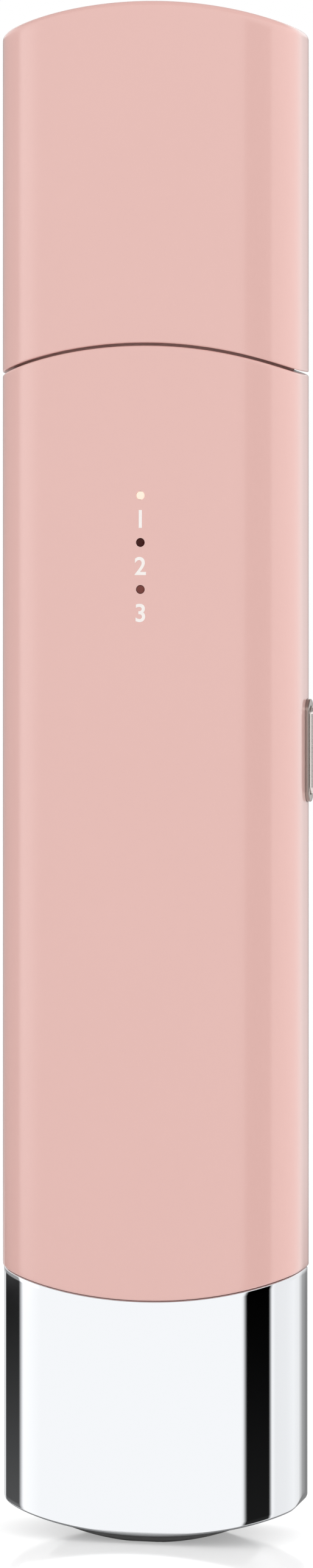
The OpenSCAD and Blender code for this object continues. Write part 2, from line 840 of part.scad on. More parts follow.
module clamp_screws() {
    color(steel)
        for (side = [-1, 1])
            translate([side * clamp_screw_x, 0, sleeve_low_z - clamp_t])
                screw(clamp_t + clamp_bite);
}

module piezo_rings() {
    color(ceramic)
        for (z = [upper_ring_z, lower_ring_z])
            translate([0, 0, z])
                difference() {
                    cylinder(d = ring_d, h = ring_t);
                    translate([0, 0, -1])
                        cylinder(d = ring_bore, h = ring_t + 2);
                }
}

module electrodes() {
    color(copper)
        for (place = [[upper_electrode_z, 0], [lower_electrode_z, 180]])
            translate([0, 0, place[0]])
                rotate([0, 0, place[1]])
                    difference() {
                        union() {
                            cylinder(d = ring_d, h = electrode_t);
                            translate([0, -electrode_tab[1] / 2, 0])
                                cube([ring_d / 2 + electrode_tab[0], electrode_tab[1], electrode_t]);
                        }
                        translate([0, 0, -1])
                            cylinder(d = ring_bore, h = electrode_t + 2);
                    }
}

module back_mass() {
    color(steel)
        translate([0, 0, back_low_z])
            difference() {
                cylinder(d = ring_d, h = back_mass_h);
                translate([0, 0, -1])
                    cylinder(d = bolt_d + 2 * touch_gap, h = back_mass_h + 2);
                translate([0, 0, -1])
                    cylinder(d = bolt_head_d + 2 * touch_gap, h = bolt_head_h + 1);
            }
}

module stack_bolt() {
    color(steel)
        difference() {
            union() {
                translate([0, 0, back_low_z])
                    cylinder(d = bolt_head_d, h = bolt_head_h);
                translate([0, 0, back_low_z])
                    cylinder(d = bolt_d, h = horn_low_z + bolt_in_horn - back_low_z);
            }
            translate([0, 0, back_low_z - 1])
                cylinder(d = bolt_d * 0.95, h = 2.2, $fn = 6);
        }
}

// Chassis, board and what they carry

module chassis_plate() {
    plate_h = plate_top_z - plate_low_z;
    window_w = cell_socket_size[0] + 1.2;
    window_low_z = cell_socket_z - cell_plug_out - 2.4;
    color(white_plastic)
        difference() {
            union() {
                upright_plate(plate_back_y, plate_t)
                    translate([0, plate_low_z + plate_h / 2])
                        round_rect(plate_w, plate_h, plate_corner_r);
                for (x = [-1, 1], z = board_screw_z)
                    pin_y(x * board_screw_x, z, screw_head_d, board_back_y, plate_back_y);
            }
            for (x = [-1, 1], z = chassis_screw_z)
                pin_y(x * chassis_screw_x, z, screw_shank_d + 0.3, -body_t, body_t);
            for (x = [-1, 1], z = board_screw_z)
                pin_y(x * board_screw_x, z, screw_shank_d + 2 * touch_gap, -body_t, body_t);
            // Notch for the switch and the button's guide
            translate([switch_out_x - switch_body[0] - 0.5, -body_t, button_z - guide_rib[1] / 2 - 0.5])
                cube([body_w, 2 * body_t, guide_rib[1] + 1]);
            // Window for the battery socket and its wires
            translate([cell_socket_x - window_w / 2, -body_t, window_low_z])
                cube([window_w, 2 * body_t, cell_socket_z + cell_socket_size[2] + 0.6 - window_low_z]);
        }
}

module chassis_screws() {
    color(steel)
        for (x = [-1, 1], z = chassis_screw_z)
            translate([x * chassis_screw_x, plate_back_y, z])
                rotate([90, 0, 0])
                    screw(plate_t + chassis_screw_bite);
}

module circuit_board() {
    color(board_green)
        difference() {
            upright_plate(board_back_y, board_t) {
                translate([-board_w / 2, board_shoulder_z])
                    square([board_w, board_top_z - board_shoulder_z]);
                translate([-board_tail_w / 2, board_low_z])
                    square([board_tail_w, board_shoulder_z - board_low_z + 1]);
            }
            for (x = [-1, 1], z = board_screw_z)
                pin_y(x * board_screw_x, z, screw_shank_d + 0.3, -body_t, body_t);
        }
}

module board_screws() {
    color(steel)
        for (x = [-1, 1], z = board_screw_z)
            translate([x * board_screw_x, board_front_y, z])
                rotate([-90, 0, 0])
                    screw(board_t + plate_gap + plate_t - 0.1);
}

// A part soldered to the front of the board
module on_board(x, z, w, h, t) {
    translate([x - w / 2, board_front_y - t, z - h / 2])
        cube([w, t, h]);
}

module controller_chip() {
    color(dark_plastic)
        on_board(0, button_z + 4, 7, 7, 1);
}

module charger_chip() {
    color(dark_plastic)
        on_board(-3, board_shoulder_z + 14, 4.9, 3.9, 1.4);
}

module driver_inductor() {
    inductor_z = button_z - inductor_drop;
    foot_t = 0.6;
    color(dark_plastic) {
        on_board(inductor_x, inductor_z, inductor[0], inductor[0], foot_t);
        pin_y(inductor_x, inductor_z, inductor[1], board_front_y - foot_t - inductor[2],
            board_front_y - foot_t);
    }
}

module capacitors() {
    color(silver_foil)
        for (i = [0:2])
            pin_y(inductor_x + inductor[0] / 2 + capacitor[0] / 2 + capacitor_gap,
                button_z - capacitor_drop - i * capacitor[2], capacitor[0],
                board_front_y - capacitor[1], board_front_y);
}

module mode_lamps() {
    color(white_plastic)
        for (z = lamp_z)
            on_board(0, z, lamp_chip[0], lamp_chip[1], lamp_chip[2]);
}

module light_pins() {
    color([0.95, 0.93, 0.88])
        for (z = lamp_z)
            pin_y(0, z, lamp_d, -body_t / 2, board_front_y - lamp_chip[2] - 0.1);
}

module light_shroud() {
    shroud_low_z = lamp_z[2] - shroud[1];
    cavity_d = norm([lamp_chip[0], lamp_chip[1]]) + 0.4;
    color(dark_plastic)
        difference() {
            translate([-shroud[0] / 2, front_in_y + touch_gap, shroud_low_z])
                cube([shroud[0], board_front_y - front_in_y - touch_gap, board_top_z - shroud_low_z]);
            for (z = lamp_z) {
                pin_y(0, z, lamp_d + 2 * touch_gap, -body_t, body_t);
                pin_y(0, z, min(cavity_d, 2 * (board_top_z - lamp_z[0]) + 1.2),
                    board_front_y - lamp_chip[2] - 0.3, board_front_y + 1);
            }
        }
}

// Switch and button

module switch_body() {
    color(dark_plastic)
        difference() {
            translate([switch_out_x - switch_body[0], board_back_y, button_z - switch_body[1] / 2])
                cube([switch_body[0], 2 * (button_y - board_back_y), switch_body[1]]);
            pin_x(button_y, button_z, plunger_d + 2 * touch_gap,
                switch_out_x - plunger_in - key_travel - 0.2, switch_out_x + 1);
        }
}

module switch_plunger() {
    color(white_plastic)
        pin_x(button_y, button_z, plunger_d, switch_out_x - plunger_in, plunger_out_x);
}

module side_button() {
    groove_x = guide_x + guide_rib[0] - 0.15;
    color(chrome)
        difference() {
            union() {
                slot_x([key_l, key_w], key_flange_x - 0.1, side_x + key_out);
                slot_x(key_flange, key_flange_x - key_flange_t, key_flange_x);
                pin_x(button_y, button_z, stem_d, plunger_out_x, key_flange_x - 0.1);
            }
            difference() {
                pin_x(button_y, button_z, stem_d + 1, groove_x - ring_section[0], groove_x);
                pin_x(button_y, button_z, stem_d - 2 * ring_section[1], guide_x, groove_x + 1);
            }
        }
}

// Rubber ring in the stem's groove, which slides in the guide rib
module button_ring() {
    groove_x = guide_x + guide_rib[0] - 0.15;
    color(rubber)
        difference() {
            pin_x(button_y, button_z, stem_d + 2 * ring_section[1], groove_x - ring_section[0] + 0.02,
                groove_x - 0.02);
            pin_x(button_y, button_z, stem_d - 2 * ring_section[1] + 0.04, guide_x, groove_x + 1);
        }
}

module button_bezel() {
    color(chrome)
        difference() {
            slot_x(bezel_size, bezel_low_x, side_x + bezel_out);
            slot_x(bezel_hole, bezel_low_x - 1, side_x + bezel_out + 1);
        }
}

// Charging socket

module charge_socket() {
    color(steel)
        difference() {
            slot_z(socket_w, socket_t, socket_y, port_recess, port_recess + socket_h);
            slot_z(socket_w - 2 * socket_wall, socket_t - 2 * socket_wall, socket_y,
                port_recess - 1, port_recess + socket_h - 1.2);
        }
}

module socket_tongue() {
    color(dark_plastic)
        translate([-3.35, socket_y - 0.35, port_recess + 1])
            cube([6.7, 0.7, socket_h - 1.2 - 1]);
}

// Battery

module battery_cell() {
    color(silver_foil)
        translate([0, (cell_front_y + cell_back_y) / 2, cell_low_z])
            linear_extrude(cell_h)
                round_rect(cell_w, cell_t, cell_corner_r);
}

module cell_pad() {
    color(white_plastic)
        translate([-cell_w / 2 + 3, plate_back_y, cell_low_z + 3])
            cube([cell_w - 6, cell_pad_t, cell_h - 6]);
}

module cell_socket() {
    pocket = [cell_plug_size[0] + 2 * touch_gap, cell_plug_size[1] + 2 * touch_gap];
    color(white_plastic)
        difference() {
            translate([cell_socket_x - cell_socket_size[0] / 2, board_back_y, cell_socket_z])
                cube([cell_socket_size[0], cell_socket_size[1], cell_socket_size[2]]);
            translate([cell_socket_x - pocket[0] / 2, cell_plug_y - pocket[1] / 2, cell_socket_z - 1])
                cube([pocket[0], pocket[1], cell_plug_size[2] - cell_plug_out + 1]);
        }
}

module cell_plug() {
    color(white_plastic)
        translate([cell_socket_x - cell_plug_size[0] / 2, cell_plug_y - cell_plug_size[1] / 2,
            cell_socket_z - cell_plug_out])
            cube(cell_plug_size);
}

module cell_wires() {
    plug_z = cell_socket_z - cell_plug_out;
    cell_y = (cell_front_y + cell_back_y) / 2;
    color([0.7, 0.1, 0.1])
        for (side = [-1, 1])
            wire([[cell_socket_x + side * 1.1, cell_plug_y, plug_z],
                [cell_socket_x + side * 1.1, cell_plug_y, plug_z - 1.5],
                [cell_socket_x + side * 1.1, cell_y, cell_top_z + 1.5],
                [cell_socket_x + side * 1.1, cell_y, cell_top_z]]);
}

module piezo_wires() {
    solder_y = board_front_y - wire_d / 2 - 0.02;
    bend_z = (back_low_z + lower_electrode_z) / 2;
    color([0.15, 0.15, 0.6])
        for (place = [[1, upper_electrode_z], [-1, lower_electrode_z]])
            wire([[place[0] * piezo_wire_x, 0, place[1]], [place[0] * piezo_wire_x, 0, bend_z],
                [place[0] * piezo_wire_x, solder_y, board_top_z + 1],
                [place[0] * piezo_wire_x, solder_y, board_top_z - 5]]);
}

// Spring strip from the board to the inside of the base
module base_contact() {
    touch_y = touch_gap - base_in_y;
    strip_t = 0.25;
    color(copper)
        rotate([90, 0, 90])
            linear_extrude(3, center = true)
                polygon([[board_front_y, contact_low_z], [board_front_y - strip_t, contact_low_z],
                    [board_front_y - strip_t, contact_low_z + contact_pad_h],
                    [touch_y, contact_high_z - 1.5], [touch_y + 1.4, contact_high_z],
                    [touch_y + 1.6, contact_high_z - 0.2], [touch_y + 0.4, contact_high_z - 1.5],
                    [board_front_y, contact_low_z + contact_pad_h + 0.3]]);
}

module cover_screws() {
    color(steel)
        for (side = [-1, 1])
            translate([side * cover_screw_x, cover_screw_head_y, cover_screw_z])
                rotate([90, 0, 0])
                    screw(cover_screw_l);
}

cap();
front_cover();
rear_cover();
base_shell();
collar();
collar_gasket();
cap_gasket();
base_gasket();
blade();
blade_seal();
blade_pin();
horn();
horn_sleeve();
sleeve_clamps();
clamp_screws();
piezo_rings();
electrodes();
back_mass();
stack_bolt();
chassis_plate();
chassis_screws();
circuit_board();
board_screws();
controller_chip();
charger_chip();
driver_inductor();
capacitors();
mode_lamps();
light_pins();
light_shroud();
switch_body();
switch_plunger();
side_button();
button_ring();
button_bezel();
charge_socket();
socket_tongue();
battery_cell();
cell_pad();
cell_socket();
cell_plug();
cell_wires();
piezo_wires();
base_contact();
cover_screws();
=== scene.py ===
from math import cos, pi, radians, sin, tan

import bmesh
import bpy
import numpy as np
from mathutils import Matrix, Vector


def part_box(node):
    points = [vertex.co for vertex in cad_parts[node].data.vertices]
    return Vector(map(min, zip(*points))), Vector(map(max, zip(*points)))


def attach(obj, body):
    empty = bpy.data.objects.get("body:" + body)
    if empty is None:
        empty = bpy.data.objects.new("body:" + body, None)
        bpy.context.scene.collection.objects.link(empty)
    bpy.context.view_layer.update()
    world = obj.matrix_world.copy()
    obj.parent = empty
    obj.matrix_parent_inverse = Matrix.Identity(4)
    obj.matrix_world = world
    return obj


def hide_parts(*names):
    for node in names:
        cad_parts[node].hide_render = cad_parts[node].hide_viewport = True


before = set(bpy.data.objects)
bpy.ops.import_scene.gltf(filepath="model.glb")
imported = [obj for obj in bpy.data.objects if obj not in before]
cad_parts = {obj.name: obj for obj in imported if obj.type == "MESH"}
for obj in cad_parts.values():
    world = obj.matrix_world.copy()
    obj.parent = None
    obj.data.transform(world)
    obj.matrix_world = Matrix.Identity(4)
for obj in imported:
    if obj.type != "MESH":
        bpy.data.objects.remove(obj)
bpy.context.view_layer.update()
scene = bpy.context.scene
scene.view_settings.view_transform = "Standard"
MM = 0.001


# Camera: level, in front of the wand and a little to its right, at two thirds of its height.
# The frame is shifted down instead of the camera being tilted, so the wand's sides stay upright.
camera_turn = radians(12.8)
camera_distance = 605.5 * MM
camera_height = 120.58 * MM
camera_aside = 0.11 * MM
photo_height_px = 2576
focal_px = 7952.6
horizon_px = 932.7
film_width = 36


def add_object(name, data):
    """A new object in the scene."""
    made = bpy.data.objects.new(name, data)
    scene.collection.objects.link(made)
    return made


# Blender lays the film's width along the frame's longer side, its height.
camera_data = bpy.data.cameras.new("camera")
camera_data.sensor_width = film_width
camera_data.lens = film_width * focal_px / photo_height_px
camera_data.shift_y = (horizon_px - photo_height_px / 2) / photo_height_px
camera = add_object("camera", camera_data)
camera.location = (
    camera_distance * sin(camera_turn) + camera_aside * cos(camera_turn),
    camera_aside * sin(camera_turn) - camera_distance * cos(camera_turn),
    camera_height,
)
camera.rotation_euler = (radians(90), 0, camera_turn)
scene.camera = camera


# Studio: a white room, lit evenly but for a little more from the right. Two dark flags, a grey
# back wall and a dim ceiling stand in it for polished and lacquered surfaces to mirror, which
# draws their edges.
class Value:
    """One output of a node. Python's operators on it add Math nodes to its tree."""

    def __init__(self, tree, socket=None):
        self.tree = tree
        self.socket = socket

    def node(self, kind, settings=(), inputs=(), output=0):
        """Adds a node: settings first, then its sockets from numbers, colours or other values."""
        made = self.tree.nodes.new(kind)
        for name, value in dict(settings).items():
            if name == "stops":
                ramp = made.color_ramp.elements
                while len(ramp) < len(value):
                    ramp.new(0.5)
                for stop, (place, colour) in zip(ramp, value):
                    stop.position = place
                    stop.color = (*colour, 1)
            else:
                setattr(made, name, value)
        for name, value in dict(inputs).items():
            if isinstance(value, Value):
                self.tree.links.new(value.socket, made.inputs[name])
            else:
                made.inputs[name].default_value = value
        return Value(self.tree, made.outputs[output] if made.outputs else None)

    def math(self, operation, other=0.0):
        return self.node("ShaderNodeMath", {"operation": operation}, {0: self, 1: other})

    def __add__(self, other):
        return self.math("ADD", other)

    def __sub__(self, other):
        return self.math("SUBTRACT", other)

    def __mul__(self, other):
        return self.math("MULTIPLY", other)

    def __truediv__(self, other):
        return self.math("DIVIDE", other)

    def __rsub__(self, other):
        return self * -1 + other

    def __rtruediv__(self, other):
        return self.math("POWER", -1.0) * other

    __radd__ = __add__
    __rmul__ = __mul__

    def parts(self):
        """The three numbers of a vector."""
        return [self.node("ShaderNodeSeparateXYZ", {}, {0: self}, axis) for axis in ("X", "Y", "Z")]

    def step(self, low, high):
        """0 up to low, 1 from high on, and a smooth rise between the two."""
        return self.node("ShaderNodeMapRange", {"interpolation_type": "SMOOTHSTEP"},
                         {"Value": self, "From Min": low, "From Max": high})

    def mix(self, first, second):
        """The first colour where this value is 0, and the second where it is 1."""
        return self.node("ShaderNodeMix", {"data_type": "RGBA"},
                         {"Factor": self, 6: colour(first), 7: colour(second)}, 2)


def colour(rgb):
    return rgb if isinstance(rgb, Value) else (*rgb, 1)


def grey(level):
    return level, level, level


# Azimuth in degrees, and the grey that a polished surface mirrors there at eye level, beside the
# base and near the table. 0 lies before the wand, 90 to its +X side and 180 behind it.
walls = [
    (-180, 0.35, 0.24, 0.24),
    (-158, 0.35, 0.70, 0.70),
    (-129, 0.45, 0.75, 0.75),
    (-126, 0.32, 0.01, 0.16),
    (-66, 0.32, 0.01, 0.16),
    (-57, 2.10, 1.10, 1.10),
    (-45, 1.70, 1.05, 1.05),
    (-36, 1.00, 1.00, 1.00),
    (9.5, 1.00, 1.00, 1.00),
    (12, 0.00, 0.00, 0.02),
    (40, 0.00, 0.00, 0.02),
    (46, 1.00, 1.00, 1.00),
    (54, 0.88, 0.88, 0.88),
    (90, 0.90, 0.90, 0.90),
    (127, 0.90, 0.96, 0.96),
    (156, 0.90, 0.88, 0.88),
    (166, 0.80, 0.58, 0.58),
    (170, 0.60, 0.24, 0.24),
    (180, 0.35, 0.24, 0.24),
]
brightest_wall = 2.2
overhead_grey = 1.0
ceiling_grey = 0.3
table_grey = 0.85
even_light = 1.13
right_light = 0.65
left_light = 0.17
upper_fall = 0.40

# The heights of a line of sight at which one band of the room starts, from -1 straight down to 1
# straight up. The band below it fades into it between the two.
near_table_start = (-0.55, -0.30)
beside_base_start = (-0.24, -0.14)
eye_level_start = (-0.15, -0.12)
overhead_start = (0.13, 0.22)
ceiling_start = (0.45, 0.75)

world = bpy.data.worlds.new("studio")
scene.world = world
world.use_nodes = True
world.node_tree.nodes.clear()
room = Value(world.node_tree)
look_x, look_y, look_z = room.node("ShaderNodeTexCoord", {}, {}, "Generated").parts()
azimuth = look_x.math("ARCTAN2", look_y * -1) / (2 * pi) + 0.5


def wall(column):
    """One column of the list of walls, as greys round the room."""
    stops = [((degrees + 180) / 360, grey(greys[column] / brightest_wall)) for degrees, *greys in walls]
    return room.node("ShaderNodeValToRGB", {"stops": stops}, {0: azimuth})


eye_level, beside_base, near_table = (wall(column) for column in range(3))
mirrored = look_z.step(*beside_base_start).mix(near_table, beside_base)
mirrored = look_z.step(*eye_level_start).mix(mirrored, eye_level)
mirrored = look_z.step(*overhead_start).mix(mirrored, grey(overhead_grey / brightest_wall))
mirrored = look_z.step(*ceiling_start).mix(mirrored, grey(ceiling_grey / brightest_wall))
mirrored = look_z.step(*near_table_start).mix(grey(table_grey / brightest_wall), mirrored)
sideways = look_x.math("MAXIMUM", 0.0) * right_light - look_x.math("MINIMUM", 0.0) * left_light
light = sideways - look_z.math("MAXIMUM", 0.0) * upper_fall + even_light
soft = room.node("ShaderNodeBackground", {}, {"Color": (1, 1, 1, 1), "Strength": light})
glossy = room.node("ShaderNodeBackground", {}, {"Color": mirrored, "Strength": brightest_wall})
backdrop = room.node("ShaderNodeBackground", {}, {"Color": (1, 1, 1, 1), "Strength": 1.0})
lit = room.node("ShaderNodeMixShader", {}, {
    0: room.node("ShaderNodeLightPath", {}, {}, "Is Glossy Ray"), 1: soft, 2: glossy})
room.node("ShaderNodeOutputWorld", {}, {"Surface": room.node("ShaderNodeMixShader", {}, {
    0: room.node("ShaderNodeLightPath", {}, {}, "Is Camera Ray"), 1: lit, 2: backdrop})})


def new_material(name):
    """A material without nodes, and the value that its nodes are added with."""
    material = bpy.data.materials.new(name)
    material.use_nodes = True
    material.node_tree.nodes.clear()
    return material, Value(material.node_tree)


def surface(paint, **sockets):
    """Ends a material in a Principled shader with these sockets."""
    inputs = {name.replace("_", " "): value for name, value in sockets.items()}
    inputs = {name: (*value, 1) if isinstance(value, tuple) and len(value) == 3 else value
              for name, value in inputs.items()}
    paint.node("ShaderNodeOutputMaterial", {}, {
        "Surface": paint.node("ShaderNodeBsdfPrincipled", {}, inputs)})


def place(paint):
    """Where a point lies on the object."""
    return paint.node("ShaderNodeTexCoord", {}, {}, "Object")


def noise(paint, where, scale, detail=2.0, roughness=0.5):
    return paint.node("ShaderNodeTexNoise", {}, {
        "Vector": where, "Scale": scale, "Detail": detail, "Roughness": roughness})


def stretched(paint, where, scale):
    """Coordinates squeezed by a factor along each axis, for grain that runs one way."""
    return paint.node("ShaderNodeMapping", {}, {"Vector": where, "Scale": scale})


def bump(paint, height, strength, distance):
    return paint.node("ShaderNodeBump", {}, {
        "Height": height, "Strength": strength, "Distance": distance})


# Table: white gloss laminate under the wand. It mirrors the foot of the base, and it takes the
# wand's soft shadow. Polished metal mirrors the table close round the base, painted a darker grey
# there as painted shade, and past that the even grey of the room.
table_size = 3.0
table_seen = grey(0.88)
# Painted shade: the grey that polished metal sees in the table round the base, darker than the table.
painted_shade_in_metal = grey(0.40)
table_elsewhere = grey(0.93)
mirror_seen = 0.375
mirror_elsewhere = 0.25
table_shine = 0.32
shade_x = 25 * MM
shade_y = 14 * MM
shade_edge = (0.8, 1.2)

table_finish, laminate = new_material("white_laminate")
seen = laminate.node("ShaderNodeLightPath", {}, {}, "Is Camera Ray")
in_metal = laminate.node("ShaderNodeLightPath", {}, {}, "Is Glossy Ray")
top = laminate.node("ShaderNodeBsdfPrincipled", {}, {
    "Base Color": seen.mix(in_metal.mix(table_elsewhere, painted_shade_in_metal), table_seen),
    "Metallic": seen * (mirror_seen - mirror_elsewhere) + mirror_elsewhere,
    "Roughness": 0.1,
    "Specular IOR Level": 0.0})
lift = laminate.node("ShaderNodeEmission", {}, {"Strength": seen * table_shine})
out_x, out_y, _ = place(laminate).parts()
past_shade = (out_x * out_x / shade_x ** 2 + out_y * out_y / shade_y ** 2).step(*shade_edge)
hidden = past_shade * in_metal
laminate.node("ShaderNodeOutputMaterial", {}, {"Surface": laminate.node("ShaderNodeMixShader", {}, {
    0: hidden, 1: laminate.node("ShaderNodeAddShader", {}, {0: top, 1: lift}),
    2: laminate.node("ShaderNodeBsdfTransparent")})})
bpy.ops.mesh.primitive_plane_add(size=table_size)
table = bpy.context.object
table.name = "table"
table.data.materials.append(table_finish)


# Covers: a front and a rear shell of moulded plastic, sprayed with a rose lacquer. They clip and
# screw together behind the button, and their tongue slides into the base. Like the base and the
# cap they follow one squared oval, whose ends are cut by arcs.
squareness = 3.7
end_arc = 54 * MM
seam_gap = 0.35 * MM
joint_gap = 0.06 * MM
base_gap = 0.15 * MM
touch_gap = 0.05 * MM
cap_low, cap_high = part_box("cap")
_, base_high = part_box("base_shell")
half_w = cap_high.x
half_t = cap_high.y
cover_wall = 1.5 * MM
shelf = 2 * MM
split_y = 3.6 * MM
split_gap = 0.04 * MM
split_round = 0.1 * MM
edge_round = 0.22 * MM
base_inset = half_w - base_high.x
base_wall = 1.3 * MM
tongue_wall = 1.3 * MM
tongue_out = base_inset + base_wall + base_gap
tongue_in = tongue_out + tongue_wall
tongue_h = 11.5 * MM
groove_depth = 0.7 * MM
side_shares = (0.004, 0.02, 0.25, 0.5, 0.75, 0.98, 0.996)


def arc_drop(x):
    """How far an end's arc has dropped at this distance from the middle."""
    return end_arc - np.sqrt(end_arc ** 2 - np.square(x))


seam_z = cap_low.z + arc_drop(half_w) - seam_gap
base_rim_z = base_high.z - arc_drop(base_high.x)
covers_low_z = base_rim_z + joint_gap


def turn_at(y, inset):
    """The turn, in the first quarter, at which the section reaches this depth."""
    return np.arcsin((y / (half_t - inset)) ** (squareness / 2))


fine_count = 200001
bend_weight = 2
quarter_count = 81
cover_count = 241


def spaced_turns(count, start, end):
    """Turns that share out both the length of the section and its bending."""
    turn = np.linspace(start, end, fine_count)
    x = half_w * np.sign(np.cos(turn)) * np.abs(np.cos(turn)) ** (2 / squareness)
    y = half_t * np.sign(np.sin(turn)) * np.abs(np.sin(turn)) ** (2 / squareness)
    length = np.hypot(np.diff(x), np.diff(y))
    heading = np.unwrap(np.arctan2(np.diff(y), np.diff(x)))
    bend = np.abs(np.diff(heading, prepend=heading[0]))
    share = np.cumsum(length / length.sum() + bend_weight * bend / bend.sum())
    return np.interp(np.linspace(0, share[-1], count), np.concatenate([[0], share]), turn)


quarter = spaced_turns(quarter_count, 0, pi / 2)
half_round = np.concatenate([quarter, pi - quarter[-2::-1]])
all_round = np.concatenate([half_round, pi + half_round[1:]])


def row(inset, height, bow=0.0, corner=0.0, turns=all_round):
    """A row of a net: how far inside the section it runs, its height, and how it rises with the
    end's arc and with the rounded corners of the base."""
    return turns, inset, height, bow, corner


def net(name, rows, closed=False):
    """A flat net for the oval tree, with its first and last row joined where closed."""
    first_turns = rows[0][0]
    count = len(first_turns)
    points = np.concatenate([
        np.column_stack([turns, np.broadcast_to(inset, count), np.full(count, height)])
        for turns, inset, height, *_ in rows])
    starts = [count * i for i in range(len(rows))]
    pairs = list(zip(starts, starts[1:])) + ([(starts[-1], 0)] if closed else [])
    faces = [(a + i, a + i + 1, b + i + 1, b + i) for a, b in pairs for i in range(count - 1)]
    goes_round = first_turns[-1] - first_turns[0] > 2 * pi - 0.001
    if closed and not goes_round:
        faces.append(starts)
        faces.append([start + count - 1 for start in reversed(starts)])
    mesh = bpy.data.meshes.new(name)
    mesh.from_pydata(points.tolist(), [], faces)
    for place_in_row, rise in ((3, "bow"), (4, "corner")):
        attribute = mesh.attributes.new(rise, "FLOAT", "POINT")
        values = [float(each[place_in_row]) for each in rows]
        attribute.data.foreach_set("value", np.repeat(values, count))
    return mesh


def new_tree(name, **sockets):
    """A Geometry Nodes tree with a geometry going in and out, and named inputs."""
    tree = bpy.data.node_groups.new(name, "GeometryNodeTree")
    tree.interface.new_socket("Geometry", in_out="OUTPUT", socket_type="NodeSocketGeometry")
    tree.interface.new_socket("Geometry", in_out="INPUT", socket_type="NodeSocketGeometry")
    for socket, kind in sockets.items():
        tree.interface.new_socket(
            socket.replace("_", " "), in_out="INPUT", socket_type="NodeSocket" + kind)
    return tree, Value(tree)


def end_tree(steps, geometry):
    """Makes the geometry's instances real, gives it the tree's material and sends it out."""
    real = steps.node("GeometryNodeRealizeInstances", {}, {"Geometry": geometry})
    finish = steps.node("NodeGroupInput", {}, {}, "Material")
    painted = steps.node("GeometryNodeSetMaterial", {}, {"Geometry": real, "Material": finish})
    steps.node("NodeGroupOutput", {}, {"Geometry": painted})


row_join = 0.005 * MM

oval_tree, bend = new_tree("squared_oval", Half_width="Float", Half_thickness="Float",
                           Squareness="Float", Arc="Float", Corner_start="Float",
                           Corner_round="Float", Material="Material")
half_width, half_thickness, square, arc, corner_start, corner_round = (
    bend.node("NodeGroupInput", {}, {}, name)
    for name in ("Half width", "Half thickness", "Squareness", "Arc", "Corner start", "Corner round"))
turn, inset, height = bend.node("GeometryNodeInputPosition").parts()


def squared(part):
    """A cosine or a sine, drawn out to the squared oval's."""
    return part.math("SIGN") * part.math("ABSOLUTE").math("POWER", 2 / square)


oval_x = (half_width - inset) * squared(turn.math("COSINE"))
oval_y = (half_thickness - inset) * squared(turn.math("SINE"))
bow, corner = (bend.node("GeometryNodeInputNamedAttribute", {"data_type": "FLOAT"}, {"Name": name})
               for name in ("bow", "corner"))
arc_rise = arc - (arc * arc - oval_x * oval_x).math("SQRT")
past_start = (oval_x.math("ABSOLUTE") - corner_start).math("MAXIMUM", 0.0)
left_over = (corner_round * corner_round - past_start * past_start).math("MAXIMUM", 0.0)
corner_rise = corner_round - left_over.math("SQRT")
oval_z = (height + bow * arc_rise + corner * corner_rise).math("MAXIMUM", 0.0)
bent = bend.node("GeometryNodeSetPosition", {}, {
    "Geometry": bend.node("NodeGroupInput", {}, {}, "Geometry"),
    "Position": bend.node("ShaderNodeCombineXYZ", {}, {"X": oval_x, "Y": oval_y, "Z": oval_z})})
end_tree(bend, bend.node("GeometryNodeMergeByDistance", {}, {"Geometry": bent, "Distance": row_join}))


def make_plain(piece):
    """Turns a piece and its modifiers into a plain mesh."""
    bpy.context.view_layer.update()
    evaluated = piece.evaluated_get(bpy.context.evaluated_depsgraph_get())
    plain = bpy.data.meshes.new_from_object(evaluated)
    piece.modifiers.clear()
    piece.data = plain


def grow(name, mesh, tree, inputs):
    """Sends a mesh through a Geometry Nodes tree and keeps the plain result."""
    piece = add_object(name, mesh)
    modifier = piece.modifiers.new("grow", "NODES")
    modifier.node_group = tree
    for item in tree.interface.items_tree:
        if item.in_out == "INPUT" and inputs.get(item.name) is not None:
            modifier[item.identifier] = inputs[item.name]
    make_plain(piece)
    piece.data.name = name
    return piece


def moulding(name, rows, material=None, closed=False, arc=end_arc, corner_start=1.0, corner_round=0.0):
    """A piece whose rows follow the squared oval and an arc, and stay over the table."""
    return grow(name, net(name, rows, closed), oval_tree, {
        "Half width": half_w, "Half thickness": half_t, "Squareness": squareness,
        "Arc": arc, "Corner start": corner_start, "Corner round": corner_round,
        "Material": material})


def cut_out(piece, *cutters):
    """Cuts closed shapes out of a piece, and does away with them."""
    for cutter in cutters:
        cut = piece.modifiers.new("cut", "BOOLEAN")
        cut.solver = "EXACT"
        cut.object = cutter
    make_plain(piece)
    for cutter in cutters:
        bpy.data.objects.remove(cutter)


plain_crease = 35


def finish_piece(piece, slot, body, *nodes, crease=plain_crease):
    """Smooth shading up to the crease angle, its body, and hides its nodes. The slot is not used."""
    piece.data.set_sharp_from_angle(angle=radians(crease))
    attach(piece, body)
    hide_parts(*nodes)


def quarter_round(radius, steps=6):
    """Inset and drop round an edge, from the wall below it to the face on top."""
    angles = np.linspace(0, pi / 2, steps + 1)
    return list(zip(radius * (1 - np.cos(angles)), radius * (1 - np.sin(angles))))


def lower_edge(inset, height, radius, *rises, steps=6):
    """Rows round a lower edge, from under the piece to its side."""
    return [row(inset + into, height + drop, *rises)
            for into, drop in quarter_round(radius, steps)[::-1]]


def upper_edge(inset, height, radius, *rises, steps=6):
    """Rows round an upper edge, from the side to the top."""
    return [row(inset + into, height - drop, *rises) for into, drop in quarter_round(radius, steps)]


